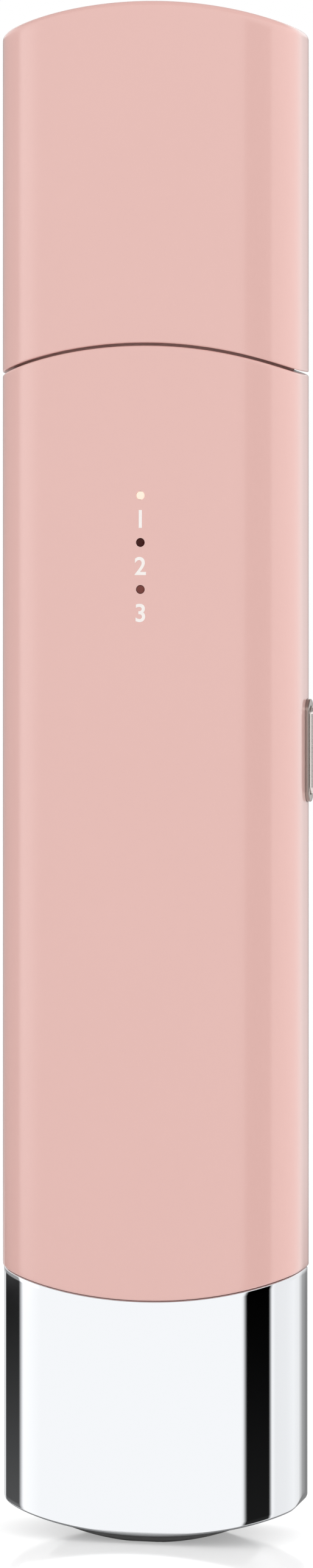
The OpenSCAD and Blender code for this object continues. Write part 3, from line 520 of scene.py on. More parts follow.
def cover_row(front, inset, height, bow=0.0, rounded=0.0):
    """A row round one cover, whose outer corners at the joint are rounded where rounded is 1."""
    edge = split_y - split_gap if front else split_y + split_gap
    back = -1 if front else 1
    corner = [(inset + rounded * into, edge + back * drop)
              for into, drop in quarter_round(split_round, 4)]
    corner_insets = np.array([depth for depth, y in corner])
    corner_turns = np.array([turn_at(y, depth) for depth, y in corner])
    first = corner_turns[0]
    start, end = (pi - first, 2 * pi + first) if front else (first, pi - first)
    run = start + cover_spacing[front] * (end - start)
    left = start + first - corner_turns if front else corner_turns
    right = end - first + corner_turns if front else end + first - corner_turns
    turns = np.concatenate([left[:0:-1], run, right[1:]])
    insets = np.concatenate([corner_insets[:0:-1], np.full(len(run), inset), corner_insets[1:]])
    return row(insets, height, bow, turns=turns)


def groove(inset, node):
    """The insets and heights into and out of the groove for a rubber ring."""
    low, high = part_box(node)
    deep = inset + groove_depth
    return [(inset, low.z - touch_gap), (deep, low.z - touch_gap),
            (deep, high.z + touch_gap), (inset, high.z + touch_gap)]


def cover_rows(front):
    """The rows round a cover: up the outside, over the seam's edge, and down to the tongue."""
    rows = [cover_row(front, inset, covers_low_z + drop, 1, 1)
            for inset, drop in quarter_round(edge_round)[::-1]]
    low = covers_low_z + edge_round
    high = seam_z - edge_round
    for share in side_shares:
        rows.append(cover_row(front, 0, low + share * (high - low), 1 - 2 * share, 1))
    rows += [cover_row(front, inset, seam_z - drop, -1, 1)
             for inset, drop in quarter_round(edge_round)]
    rows += [cover_row(front, *each) for each in (
        (cover_wall, seam_z, -1), (cover_wall, covers_low_z + shelf, 1),
        (tongue_in, covers_low_z + shelf, 1), (tongue_in, covers_low_z - tongue_h, 0),
        (tongue_out, covers_low_z - tongue_h, 0))]
    rows += [cover_row(front, *each) for each in groove(tongue_out, "base_gasket")]
    return rows + [cover_row(front, tongue_out, covers_low_z, 1)]


joint_turn = float(turn_at(split_y, 0))
cover_spacing = {}
for is_front, (start, end) in ((True, (pi - joint_turn, 2 * pi + joint_turn)),
                               (False, (joint_turn, pi - joint_turn))):
    cover_spacing[is_front] = (spaced_turns(cover_count, start, end) - start) / (end - start)

lacquer, paint = new_material("rose_lacquer")
spot = place(paint)
haze = noise(paint, spot, 45.0, 3.0)
pearl = noise(paint, spot, 6500.0, 0.0)
peel = noise(paint, spot, 1100.0, 1.0)
surface(paint,
        Base_Color=(haze * 0.6 + pearl * 0.4).mix((0.768, 0.460, 0.418), (0.792, 0.482, 0.440)),
        Roughness=pearl * 0.08 + 0.28,
        Coat_Weight=1.0,
        Coat_Roughness=0.1,
        Normal=bump(paint, peel, 0.04, 0.03 * MM))
front_shell = moulding("front_shell", cover_rows(True), lacquer, closed=True)
rear_shell = moulding("rear_shell", cover_rows(False), lacquer, closed=True)


# Lamps: three clear pins in a row, pressed through the front cover and ground flush with it. The
# light of the chosen mode shows through the first, and the dark board through the other two.
pins_low, pins_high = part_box("light_pins")
lamp_count = 3
pin_radius = (pins_high.x - pins_low.x) / 2
pin_pitch = (pins_high.z - pins_low.z - 2 * pin_radius) / (lamp_count - 1)
pin_top_z = pins_high.z - pin_radius
pin_gap = 0.05 * MM
pin_dome = 0.06 * MM
pin_points = 40
hole_depth = 3 * MM

# The rings of a pin's end: a share of its radius, and how far out in shares of its dome.
pin_end = ((1, -1), (0.93, -0.2), (0.6, 0.6), (0.2, 1))

# How far a cutter reaches past what it cuts, and how near to each other points become one.
overcut = 1 * MM
point_join = 0.0001 * MM


def disc(radius, x, y, z, axis="Y"):
    """A ring of points round an axis through this place."""
    turns = np.linspace(0, 2 * pi, pin_points, endpoint=False)
    u = radius * np.cos(turns)
    v = radius * np.sin(turns)
    flat = np.full(pin_points, 0.0)
    return np.column_stack((x + u, y + flat, z + v) if axis == "Y" else (x + u, y + v, z + flat))


def face_outwards(mesh):
    """Joins a closed mesh at its seams and turns its faces outwards."""
    shape = bmesh.new()
    shape.from_mesh(mesh)
    bmesh.ops.remove_doubles(shape, verts=shape.verts, dist=point_join)
    bmesh.ops.recalc_face_normals(shape, faces=shape.faces)
    shape.to_mesh(mesh)
    shape.free()


def skin(name, rings, material=None):
    """A closed mesh over rings of equal count, with flat faces on its two ends."""
    count = len(rings[0])
    faces = [(a + i, a + (i + 1) % count, b + (i + 1) % count, b + i)
             for a, b in ((count * k, count * (k + 1)) for k in range(len(rings) - 1))
             for i in range(count)]
    faces.append(list(range(count))[::-1])
    faces.append(list(range(count * (len(rings) - 1), count * len(rings))))
    mesh = bpy.data.meshes.new(name)
    mesh.from_pydata(np.concatenate(rings).tolist(), [], faces)
    mesh.update()
    face_outwards(mesh)
    if material:
        mesh.materials.append(material)
    return add_object(name, mesh)


line_tree, line = new_tree("copies_in_line", Count="Int", Step="Vector", Material="Material")
line_points = line.node("GeometryNodeMeshLine", {}, {
    "Count": line.node("NodeGroupInput", {}, {}, "Count"),
    "Offset": line.node("NodeGroupInput", {}, {}, "Step")})
end_tree(line, line.node("GeometryNodeInstanceOnPoints", {}, {
    "Points": line_points, "Instance": line.node("NodeGroupInput", {}, {}, "Geometry")}))


def copies_in_line(first, count, step, material):
    """A piece repeated along a line."""
    mesh = first.data
    name = first.name
    bpy.data.objects.remove(first)
    return grow(name, mesh, line_tree, {"Count": count, "Step": step, "Material": material})


def above_gap(up, lamp):
    """1 above the gap under this lamp, counted from the top, and 0 below the gap."""
    gap_z = pin_top_z - (lamp - 0.5) * pin_pitch
    return up.step(gap_z - 0.1 * pin_pitch, gap_z + 0.1 * pin_pitch)


lamp_glass, glow = new_material("lamp_pin")
height_up = place(glow).parts()[2]
lit_one = above_gap(height_up, 1)
second = above_gap(height_up, 2)
grain = noise(glow, place(glow), 2500.0)
unlit = second.mix((0.190, 0.055, 0.045), (0.048, 0.006, 0.004))
surface(glow,
        Base_Color=lit_one.mix((grain * 0.2).mix(unlit, (0.05, 0.02, 0.02)), (0.35, 0.30, 0.25)),
        Roughness=grain * 0.1 + 0.12,
        Specular_IOR_Level=0.15,
        Emission_Color=lit_one.mix(grey(0.0), (0.70, 0.58, 0.48)),
        Emission_Strength=1.0)
pin_rings = [disc(pin_radius, 0, pins_high.y, pin_top_z)]
pin_rings += [disc(pin_radius * share, 0, -half_t - out * pin_dome, pin_top_z)
              for share, out in pin_end]
pin = skin("lamp_pins", pin_rings)
lamp_pins = copies_in_line(pin, lamp_count, (0, 0, -pin_pitch), lamp_glass)
finish_piece(lamp_pins, "clear_pin", "wand", "light_pins")
pin_holes = [skin("hole", [disc(pin_radius + pin_gap, 0, y, pin_top_z - i * pin_pitch)
                           for y in (-half_t - overcut, -half_t + hole_depth)])
             for i in range(lamp_count)]


# Mode numbers: 1, 2 and 3 in white ink, pad-printed on the lacquer of the front cover. Each stands
# below the lamp of its mode.
number_size = 3.1 * MM
number_drop = 2.9 * MM
number_bold = 0.05 * MM
ink_depth = 0.012 * MM


def mottled(name, first, second, scale, roughness, spread=0.1, detail=3.0, grain=None, **sockets):
    """A material whose colour and gloss wander a little. Grain is a bump's strength and depth."""
    material, paint = new_material(name)
    spots = noise(paint, place(paint), scale, detail)
    if grain:
        sockets["Normal"] = bump(paint, spots, *grain)
    surface(paint, Base_Color=spots.mix(first, second), Roughness=spots * spread + roughness, **sockets)
    return material


ink = mottled("white_ink", (0.90, 0.84, 0.81), (0.96, 0.91, 0.88), 3000.0, 0.4, 0.15, detail=2.0)
for i in range(lamp_count):
    letters = bpy.data.curves.new("number", "FONT")
    letters.body = str(i + 1)
    letters.size = number_size
    letters.extrude = ink_depth
    letters.offset = number_bold
    letters.align_x = "CENTER"
    letters.align_y = "CENTER"
    drawn = add_object("drawn", letters)
    plain = bpy.data.meshes.new_from_object(drawn)
    bpy.data.objects.remove(drawn)
    number = add_object("mode_number_%d" % (i + 1), plain)
    corners = np.array([v.co for v in plain.vertices])
    middle = (corners.max(0) + corners.min(0)) / 2
    corners = np.column_stack([corners[:, 0] - middle[0], corners[:, 2] - half_t - ink_depth / 2,
                               corners[:, 1] - middle[1] + pin_top_z - i * pin_pitch - number_drop])
    plain.vertices.foreach_set("co", corners.ravel())
    face_outwards(plain)
    plain.materials.clear()
    plain.materials.append(ink)
    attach(number, "wand")


# Side button: a slim plated key in a plated bezel, both let into the side of the front cover. The
# bezel is glued into its window, and the key slides in it on to the switch. The plating is coloured
# darker below the bezel's face.
key_low, key_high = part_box("side_button")
bezel_low, bezel_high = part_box("button_bezel")
bezel_size = (bezel_high.z - bezel_low.z, bezel_high.y - bezel_low.y)
bezel_land = (0.88 * MM, 0.48 * MM)
key_gap = 0.12 * MM
key_size = tuple(outer - 2 * land - 2 * key_gap for outer, land in zip(bezel_size, bezel_land))
key_middle = ((bezel_low.y + bezel_high.y) / 2, (bezel_low.z + bezel_high.z) / 2)
key_round = 0.35 * MM
key_skirt = 0.3 * MM
key_crown = 0.02 * MM
key_crown_in = 0.8 * MM
bezel_round = 0.12 * MM
bezel_skirt = 0.1 * MM
ledge = 0.001 * MM
stem_radius = 1.0 * MM
window_gap = 0.05 * MM
pill_points = 96


def pill(size, x, grow_by=0.0):
    """A ring with round ends, long in Z, at this place along X."""
    radius = size[1] / 2 + grow_by
    turns = np.linspace(0, 2 * pi, pill_points, endpoint=False) + pi / pill_points
    lift = np.where(np.sin(turns) > 0, 1, -1) * (size[0] - size[1]) / 2
    return np.column_stack([np.full(pill_points, x), key_middle[0] + radius * np.cos(turns),
                            key_middle[1] + lift + radius * np.sin(turns)])


plated, plating = new_material("plated_button")
brushed = noise(plating, stretched(plating, place(plating), (900, 900, 60)), 1.0, 3.0)
# The plating is coloured darker below the bezel's face: over the bezel and the key's sides within it.
bezel_face_low = bezel_high.x - 0.02 * MM
bezel_face_high = bezel_high.x + 0.05 * MM
above_bezel_face = place(plating).parts()[0].step(bezel_face_low, bezel_face_high)
surface(plating,
        Base_Color=above_bezel_face.mix((0.40, 0.35, 0.325), (0.95, 0.88, 0.85)),
        Metallic=1.0,
        Roughness=brushed * 0.10 + 0.14,
        Normal=bump(plating, brushed, 0.05, 0.01 * MM))

stem_size = (2 * stem_radius, 2 * stem_radius)
key_rings = [pill(stem_size, key_low.x), pill(stem_size, bezel_low.x)]
key_rings += [pill(key_size, x) for x in (bezel_low.x + ledge, key_high.x - key_round - key_skirt)]
key_rings += [pill(key_size, key_high.x - drop, -into) for into, drop in quarter_round(key_round)]
key_rings.append(pill(key_size, key_high.x + key_crown, -key_crown_in))
key = skin("side_key", key_rings, plated)
finish_piece(key, "plated_button", "button", "side_button")

bezel_x = bezel_high.x
bezel_rings = [pill(bezel_size, x) for x in (bezel_low.x, bezel_x - bezel_round - bezel_skirt)]
bezel_rings += [pill(bezel_size, bezel_x - drop, -into)
                for into, drop in quarter_round(bezel_round)]
bezel = skin("key_bezel", bezel_rings, plated)
hole_size = tuple(size + 2 * key_gap for size in key_size)
hole_rings = [pill(hole_size, bezel_low.x - overcut)]
hole_rings += [pill(hole_size, bezel_x - drop, into) for into, drop in quarter_round(bezel_round)]
hole_rings.append(pill(hole_size, bezel_x + overcut, bezel_round))
cut_out(bezel, skin("hole", hole_rings))
finish_piece(bezel, "plated_button", "wand", "button_bezel")

window = skin("window", [pill(bezel_size, x, window_gap)
                         for x in (bezel_low.x - 2 * overcut, half_w + 2 * overcut)])
cut_out(front_shell, window, *pin_holes)
finish_piece(front_shell, "lacquer", "wand", "front_cover")
finish_piece(rear_shell, "lacquer", "wand", "rear_cover")


# Base: a deep-drawn cup, polished and chromium plated, that slides over the covers' tongue. Under
# it a lens-shaped foot is let in round the slot of the charging socket, and ground flat. The foot
# is painted dark grey as painted shade, for the shadow under the base.
socket_low, socket_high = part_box("charge_socket")
base_floor = 1.8 * MM
base_corner = 0.9 * MM
base_edge_round = 0.3 * MM
rim_round = 0.22 * MM
foot_h = 1.0 * MM
foot_arc = 32 * MM
foot_flat = 5 * MM
foot_inset = 2.0 * MM
foot_round = 0.4 * MM
foot_top = 1.7 * MM
foot_top_bow = 0.75
port_gap = 0.15 * MM
slot_top_z = 5 * MM
base_mid_inset = 4 * MM
base_under_count = 18
foot_under_count = 14

# The rows up the base's side: a share of its height, and of the rise of its rounded corners.
base_side = ((0.015, 1), (0.12, 0.6), (0.5, 0), (0.9, 0), (0.985, 0))

chrome, plating = new_material("polished_chrome")
spot = place(plating)
ripple = noise(plating, spot, 40.0, 1.0)
film = noise(plating, spot, 600.0, 3.0)
surface(plating,
        Base_Color=(0.912, 0.93, 0.955),
        Metallic=1.0,
        Roughness=film * 0.03 + 0.02,
        Normal=bump(plating, ripple, 0.03, 0.05 * MM))


def underside(outer_inset, height, count, *rises):
    """Rows under a piece, from the middle out, and closer together towards its edge."""
    return [row(inset, height, *rises) for inset in np.geomspace(half_t, outer_inset, count)[:-1]]


base_rows = underside(base_inset + base_edge_round, foot_h, base_under_count, 1, 1)
base_rows += lower_edge(base_inset, foot_h, base_edge_round, 1, 1, steps=8)
base_side_low = foot_h + base_edge_round
base_side_high = base_rim_z - rim_round
for share, corner_share in base_side:
    height = base_side_low + share * (base_side_high - base_side_low)
    base_rows.append(row(base_inset, height, 1, corner_share))
base_rows += upper_edge(base_inset, base_rim_z, rim_round, 1, steps=8)
base_rows += [row(base_inset + base_wall, height, 1) for height in (base_rim_z, foot_h + base_floor)]
base_rows += [row(inset, foot_h + base_floor, 1) for inset in (base_mid_inset, half_t)]
base = moulding("plated_base", base_rows, chrome,
                corner_start=half_w - base_inset - base_corner, corner_round=base_corner)


def slot_ring(half_x, half_y, z, y=0.0, corner=None, crown=0.0):
    """A ring with rounded corners, long in X. A crown of 1 follows the arc of the cap's end."""
    radius = half_y if corner is None else corner
    turns = np.linspace(0, 2 * pi, pill_points, endpoint=False) + pi / pill_points
    x = np.sign(np.cos(turns)) * (half_x - radius) + radius * np.cos(turns)
    return np.column_stack([x, y + np.sign(np.sin(turns)) * (half_y - radius) + radius * np.sin(turns),
                            z - crown * arc_drop(x)])


port_half_x = (socket_high.x - socket_low.x) / 2 + port_gap
port_half_y = (socket_high.y - socket_low.y) / 2 + port_gap
port_y = (socket_low.y + socket_high.y) / 2
foot_low_z = np.sqrt(foot_arc ** 2 - (foot_flat / 2) ** 2) - foot_arc
foot_rows = underside(base_inset + foot_inset + foot_round, foot_low_z, foot_under_count, 1)
foot_rows += lower_edge(base_inset + foot_inset, foot_low_z, foot_round, 1)
foot_rows += [row(inset, foot_top, foot_top_bow) for inset in (base_inset + foot_inset, half_t)]

# The foot's dark grey is painted shade, standing for the shadow under the base.
painted_shade_foot_finish = mottled("foot_painted_shade", grey(0.10), grey(0.13), 700.0, 0.5, detail=4.0)
foot = moulding("base_foot", foot_rows, painted_shade_foot_finish, arc=foot_arc)
for holed in (base, foot):
    cut_out(holed, skin("slot", [slot_ring(port_half_x, port_half_y, z, port_y)
                                 for z in (-overcut, slot_top_z)]))
finish_piece(base, "plated_base", "wand", "base_shell", crease=45)
foot.data.set_sharp_from_angle(angle=radians(plain_crease))
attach(foot, "wand")


# Port contacts: gold-plated springs in two rows of twelve, one on each face of the charging
# socket's tongue.
tongue_low, tongue_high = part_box("socket_tongue")
contact_count = 12
contact_pitch = 0.5 * MM
contact_width = 0.25 * MM
contact_length = 3 * MM
contact_out = 0.02 * MM
contact_inset = 0.4 * MM

gold = mottled("contact_gold", (0.83, 0.58, 0.20), (0.90, 0.66, 0.28), 4000.0, 0.2, 0.2,
               detail=2.0, Metallic=1.0)


def block(name, low, high, material=None):
    """A closed box between two corners."""
    return skin(name, [np.array([(low[0], low[1], z), (high[0], low[1], z), (high[0], high[1], z),
                                 (low[0], high[1], z)]) for z in (low[2], high[2])], material)


first_x = -contact_pitch * (contact_count - 1) / 2
first_z = tongue_low.z + contact_inset
for name, face_y in (("port_contacts_front", tongue_low.y), ("port_contacts_rear", tongue_high.y)):
    contact = block(name, (first_x - contact_width / 2, face_y - contact_out, first_z),
                    (first_x + contact_width / 2, face_y + contact_out, first_z + contact_length))
    contacts = copies_in_line(contact, contact_count, (contact_pitch, 0, 0), gold)
    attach(contacts, "wand")


# Cap: moulded and lacquered like the covers. It pushes down over the collar as far as a fine
# seam, and pulls straight up off it.
cap_wall = 1.5 * MM
cap_top_wall = 2 * MM
cap_edge_round = 0.8 * MM
cap_top = cap_high.z
cap_rim = seam_z + seam_gap
cap_mid_inset = 5 * MM
cap_side_shares = (0.015, 0.06, 0.5, 0.94, 0.985)
crown_step = 0.3 * MM
crown_count = 6


def crown(inset, height):
    """Rows over a crowned top, from within this inset to the middle."""
    return [row(each, height, -1) for each in np.linspace(inset + crown_step, half_t, crown_count)]


cap_rows = [row(inset, cap_top - cap_top_wall, -1) for inset in (half_t, cap_mid_inset, cap_wall)]
cap_rows.append(row(cap_wall, cap_rim, -1))
cap_rows += lower_edge(0, cap_rim, edge_round, -1)
cap_side_low = cap_rim + edge_round
cap_side_high = cap_top - cap_edge_round
for share in cap_side_shares:
    cap_rows.append(row(0, cap_side_low + share * (cap_side_high - cap_side_low), -1))
cap_rows += upper_edge(0, cap_top, cap_edge_round, -1, steps=8)
cap_rows += crown(cap_edge_round, cap_top)
cap = moulding("pull_off_cap", cap_rows, lacquer)
finish_piece(cap, "lacquer", "cap", "cap")


# Collar: moulded in the same rose plastic and left bare. Its lower half is locked into the covers
# by a rib, and its upper half carries the cap. Each half has a groove for a rubber ring.
collar_low, collar_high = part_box("collar")
sleeve_low, sleeve_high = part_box("horn_sleeve")
seal_low, seal_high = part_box("blade_seal")
collar_wall = 1.4 * MM
collar_gap = 0.15 * MM
cap_gap = 0.2 * MM
collar_low_out = cover_wall + collar_gap
collar_low_in = collar_low_out + collar_wall
collar_top_out = cap_wall + cap_gap
collar_top_in = collar_top_out + collar_wall
collar_edge_round = 0.6 * MM
collar_foot_round = 0.2 * MM
rib_out = 0.85 * MM
rib_rise = 1.2 * MM
rib_h = 1.6 * MM
rib_low_z = collar_low.z + rib_rise
rib_high_z = rib_low_z + rib_h
bulkhead = 1.5 * MM
seal_flange = 0.8 * MM
flange_edge = 1.2 * MM
horn_bore = 5.05 * MM
seal_slot_corner = 1 * MM
seal_half_x = seal_high.x - flange_edge
seal_half_y = seal_high.y - flange_edge
ceiling_z = seal_low.z + seal_flange

bare_plastic, paint = new_material("rose_plastic")
spot = place(paint)
flow = noise(paint, spot, 90.0, 4.0)
spark = noise(paint, spot, 4200.0, 2.0)
surface(paint,
        Base_Color=(flow * 0.7 + spark * 0.3).mix((0.700, 0.400, 0.362), (0.745, 0.440, 0.400)),
        Roughness=spark * 0.12 + 0.42,
        Normal=bump(paint, spark, 0.08, 0.01 * MM))

collar_rows = [row(*each) for each in (
    (half_t, sleeve_low.z), (collar_low_in, sleeve_low.z), (collar_low_in, collar_low.z))]
collar_rows += lower_edge(collar_low_out, collar_low.z, collar_foot_round)
collar_rows += [row(collar_low_out - out, height) for out, height in (
    (0, rib_low_z), (rib_out, rib_low_z), (rib_out, rib_high_z), (0, rib_high_z))]
collar_rows += [row(*each) for each in groove(collar_low_out, "collar_gasket")]
collar_rows += [row(collar_low_out, seam_z - touch_gap, -1), row(collar_top_out, seam_z, -1)]
collar_rows += [row(*each) for each in groove(collar_top_out, "cap_gasket")]
collar_rows += upper_edge(collar_top_out, collar_high.z, collar_edge_round, -1, steps=8)
collar_rows += crown(collar_top_out + collar_edge_round, collar_high.z)
collar = moulding("bare_collar", collar_rows, bare_plastic)
cavity = moulding("cavity", [row(*each) for each in (
    (half_t, sleeve_high.z + bulkhead), (collar_top_in, sleeve_high.z + bulkhead),
    (collar_top_in, ceiling_z), (half_t, ceiling_z))])
face_outwards(cavity.data)
cut_out(collar, cavity,
        skin("bore", [disc(horn_bore, 0, 0, z, "Z")
                      for z in (sleeve_high.z - overcut, ceiling_z - overcut)]),
        skin("seat", [disc(sleeve_high.x + touch_gap, 0, 0, z, "Z")
                      for z in (sleeve_low.z - overcut, sleeve_high.z)]),
        skin("slot", [slot_ring(seal_half_x + touch_gap, seal_half_y + touch_gap, z,
                                corner=seal_slot_corner)
                      for z in (ceiling_z - overcut / 2, collar_high.z + overcut)]))
finish_piece(collar, "collar_plastic", "wand", "collar")


# Rubber rings: black rings with rounded corners, stretched into their grooves. One keeps the cap
# on by friction, one seals the collar in the covers and one seals the base on the tongue.
ring_corner = 0.3 * MM
ring_stand = 0.1 * MM

rubber = mottled("black_rubber", (0.016, 0.015, 0.015), (0.030, 0.029, 0.029), 700.0, 0.55, 0.15,
                 detail=4.0, grain=(0.1, 0.01 * MM))

for name, node in (("cap_ring", "cap_gasket"), ("collar_ring", "collar_gasket"),
                   ("base_ring", "base_gasket")):
    ring_low, ring_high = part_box(node)
    outer = half_w - ring_high.x
    inner = outer + groove_depth + ring_stand
    ring_rows = lower_edge(outer, ring_low.z, ring_corner) + upper_edge(outer, ring_high.z, ring_corner)
    ring_rows += [row(inner, ring_high.z), row(inner, ring_low.z)]
    ring = moulding(name, ring_rows, rubber, closed=True)
    finish_piece(ring, "black_rubber", "wand", node)


# Blade: a spatula cut from spring steel sheet, bent forwards, rounded at its corners and ground to
# a thin edge on its back. Its tang is pinned into the horn below.
blade_low, blade_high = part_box("blade")
_, horn_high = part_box("horn")
blade_t = 0.9 * MM
tang_half = 3.5 * MM
tip_half = 10.5 * MM
tip_corner = 2.5 * MM
bend_angle = radians(13)
bend_rise = 8 * MM
tip_rise = 21 * MM
bend_z = collar_high.z + bend_rise
bend_run = tip_rise / cos(bend_angle)
bend_radius = 6 * MM
ground_length = 3 * MM
ground_t = 0.25 * MM
blade_ease = 0.07 * MM

blade_steel, metal = new_material("brushed_spring_steel")
spot = place(metal)
strokes = noise(metal, stretched(metal, spot, (90, 6000, 6000)), 1.0, 5.0, 0.6)
cloud = noise(metal, spot, 120.0, 2.0)
surface(metal,
        Base_Color=(strokes * 0.7 + cloud * 0.3).mix((0.60, 0.60, 0.605), (0.74, 0.735, 0.73)),
        Metallic=1.0,
        Roughness=strokes * 0.14 + 0.34,
        Normal=bump(metal, strokes, 0.12, 0.004 * MM))

bend_start = bend_z - bend_radius * tan(bend_angle / 2) - blade_low.z
bend_end = bend_start + bend_radius * bend_angle
blade_long = bend_end + bend_run - bend_radius * tan(bend_angle / 2)


def blade_ring(run, half, back):
    """A ring round the blade at this run from its root, with its back face at this depth."""
    lean = min(max(run - bend_start, 0) / bend_radius, bend_angle)
    past = max(run - bend_end, 0)
    y = -bend_radius * (1 - cos(lean)) - past * sin(lean)
    z = blade_low.z + min(run, bend_start) + bend_radius * sin(lean) + past * cos(lean)
    front = -blade_t / 2
    ease = blade_ease
    outline = [(-half, front + ease), (-half + ease, front), (half - ease, front), (half, front + ease),
               (half, back - ease), (half - ease, back), (-half + ease, back), (-half, back - ease)]
    return np.array([(x, y + depth * cos(lean), z + depth * sin(lean)) for x, depth in outline])


neck = horn_high.z + touch_gap - blade_low.z
taper_start = collar_high.z - blade_low.z
stations = np.unique(np.concatenate([
    np.linspace(neck, bend_start, 4), np.linspace(bend_start, bend_end, 10),
    np.linspace(bend_end, blade_long - ground_length, 4), [taper_start],
    blade_long - tip_corner * (1 - np.sin(np.linspace(0, pi / 2, 16)))]))
blade_rings = [blade_ring(0, tang_half, blade_t / 2), blade_ring(neck, tang_half, blade_t / 2)]
for run in stations:
    half = np.interp(run, [taper_start, blade_long], [blade_high.x, tip_half])
    into_corner = max(run - (blade_long - tip_corner), 0)
    half -= tip_corner - np.sqrt(max(tip_corner ** 2 - into_corner ** 2, 0))
    back = np.interp(run, [blade_long - ground_length, blade_long],
                     [blade_t / 2, ground_t - blade_t / 2])
    blade_rings.append(blade_ring(run, half, back))
blade = skin("spatula_blade", blade_rings, blade_steel)
finish_piece(blade, "blade_steel", "wand", "blade", crease=25)


# Seal: a lip of grey silicone round the foot of the blade, which keeps water out and lets the
# blade tremble. Its flange is caught under the top of the collar.
lip_rise = 0.3 * MM
lip_reach = 0.3 * MM
lip_top_z = collar_high.z + lip_rise
lip_round = 0.45 * MM
lip_corner = 0.9 * MM
lip_inner_corner = 0.3 * MM
lip_dish = 0.2 * MM

silicone = mottled("grey_silicone", (0.36, 0.35, 0.35), (0.42, 0.41, 0.41), 1500.0, 0.48, 0.12,
                   grain=(0.06, 0.01 * MM), Subsurface_Weight=0.08)

seal_rings = [slot_ring(seal_high.x, seal_high.y, z, corner=lip_corner)
              for z in (seal_low.z, ceiling_z)]
seal_rings += [slot_ring(seal_half_x, seal_half_y, ceiling_z + ledge, corner=lip_corner)]
seal_rings += [slot_ring(seal_half_x - inset, seal_half_y - inset, lip_top_z - drop,
                         corner=lip_corner - inset, crown=1)
               for inset, drop in quarter_round(lip_round)]
seal_rings += [slot_ring(blade_high.x + lip_reach, blade_t / 2 + lip_reach, lip_top_z - lip_dish,
                         corner=lip_inner_corner, crown=1)]
seal = skin("blade_lip", seal_rings, silicone)
slit_x = blade_high.x + touch_gap
slit_y = blade_t / 2 + touch_gap
cut_out(seal, block("slit", (-slit_x, -slit_y, seal_low.z - overcut),
                    (slit_x, slit_y, lip_top_z + overcut)))
finish_piece(seal, "grey_silicone", "wand", "blade_seal")


# Ultrasonic stack: a turned steel horn and back mass with two ceramic rings and copper electrodes
# bolted between them, held in the collar by a rubber sleeve and two clamps.
def dress(material, *nodes):
    """Gives pieces that stay as they are built their finish."""
    for node in nodes:
        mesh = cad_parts[node].data
        mesh.materials.clear()
        mesh.materials.append(material)


turned_steel, metal = new_material("turned_steel")
rings = noise(metal, stretched(metal, place(metal), (120, 120, 9000)), 1.0, 4.0)
surface(metal, Base_Color=rings.mix((0.56, 0.56, 0.57), grey(0.68)), Metallic=1.0,
        Roughness=rings * 0.15 + 0.24, Normal=bump(metal, rings, 0.15, 0.004 * MM))
dress(turned_steel, "horn", "back_mass", "blade_pin", "sleeve_clamps")
dress(mottled("fired_ceramic", (0.62, 0.58, 0.48), (0.70, 0.66, 0.56), 900.0, 0.55), "piezo_rings")
dress(mottled("rolled_copper", (0.86, 0.46, 0.28), (0.92, 0.54, 0.36), 500.0, 0.24, Metallic=1.0),
      "electrodes", "base_contact")
dress(rubber, "horn_sleeve", "button_ring")


# Screws: zinc-plated steel with cross heads, from one small family of sizes. They hold clamps,
# chassis, board and covers, and the bolt of the stack is plated like them.
dress(mottled("zinc_plate", (0.62, 0.63, 0.64), (0.72, 0.72, 0.70), 1200.0, 0.26, Metallic=1.0),
      "clamp_screws", "stack_bolt", "chassis_screws", "board_screws", "cover_screws")


# Chassis: a moulded white plate that carries the board in front and the cell behind. The plunger
# of the switch, and the plug and socket of the cell, are moulded in the same plastic.
dress(mottled("white_plastic", (0.78, 0.77, 0.75), (0.83, 0.82, 0.80), 350.0, 0.40),
      "chassis_plate", "switch_plunger", "cell_socket", "cell_plug")


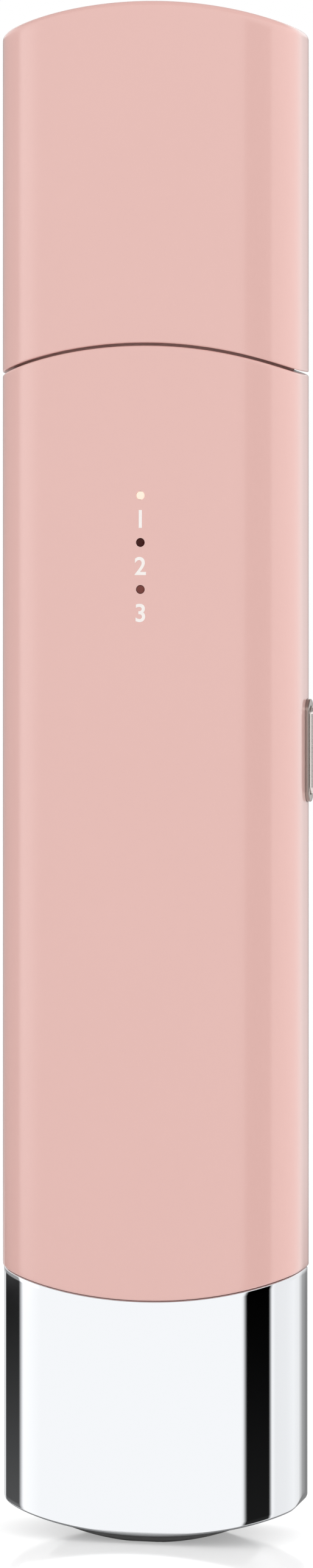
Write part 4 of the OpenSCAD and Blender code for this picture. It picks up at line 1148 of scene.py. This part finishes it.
# Circuit board: glass fibre with a green solder mask, over copper tracks that run across it in
# fine lines. Its parts are soldered on: chips, inductor, capacitors, switch, lamps and socket.
board_finish, mask = new_material("green_board")
spot = place(mask)
weave = noise(mask, stretched(mask, spot, (900, 900, 900)), 1.0, 2.0)
tracks = mask.node("ShaderNodeTexBrick", {}, {
    "Vector": stretched(mask, spot, (420, 420, 420)), "Scale": 1.0, "Mortar Size": 0.05,
    "Color1": (0, 0, 0, 1), "Color2": (0, 0, 0, 1), "Mortar": (1, 1, 1, 1)})
surface(mask,
        Base_Color=tracks.mix(weave.mix((0.012, 0.085, 0.040), (0.020, 0.110, 0.052)),
                              (0.045, 0.200, 0.095)),
        Roughness=weave * 0.1 + 0.24,
        Coat_Weight=0.5)
dress(board_finish, "circuit_board")
dress(mottled("black_plastic", (0.020, 0.020, 0.021), (0.034, 0.034, 0.035), 900.0, 0.42),
      "controller_chip", "charger_chip", "driver_inductor", "light_shroud", "switch_body",
      "socket_tongue")
dress(mottled("can_aluminium", (0.74, 0.75, 0.76), grey(0.82), 800.0, 0.22, Metallic=1.0),
      "capacitors")
dress(mottled("stamped_socket_steel", grey(0.58), (0.68, 0.68, 0.67), 900.0, 0.24, Metallic=1.0),
      "charge_socket")

lamp_chips, glow = new_material("lamp_chips")
shining = above_gap(place(glow).parts()[2], 1)
phosphor = noise(glow, place(glow), 5000.0)
surface(glow, Base_Color=phosphor.mix((0.80, 0.70, 0.30), (0.86, 0.78, 0.40)), Roughness=0.35,
        Emission_Color=shining.mix(grey(0.0), (1.0, 0.82, 0.60)), Emission_Strength=1.0)
dress(lamp_chips, "mode_lamps")


# Cell and wires: a soft lithium cell in aluminium foil on a foam pad, and stranded wires in
# coloured sleeves.
foil, metal = new_material("cell_foil")
creases = noise(metal, place(metal), 260.0, 4.0, 0.6)
surface(metal, Base_Color=creases.mix((0.66, 0.67, 0.68), (0.76, 0.76, 0.77)), Metallic=0.9,
        Roughness=creases * 0.2 + 0.26, Normal=bump(metal, creases, 0.25, 0.05 * MM))
dress(foil, "battery_cell")
dress(mottled("foam", grey(0.10), grey(0.17), 2600.0, 0.85), "cell_pad")
dress(mottled("red_sleeve", (0.50, 0.030, 0.025), (0.58, 0.045, 0.035), 900.0, 0.40), "cell_wires")
dress(mottled("blue_sleeve", (0.030, 0.085, 0.42), (0.045, 0.110, 0.50), 900.0, 0.40), "piezo_wires")
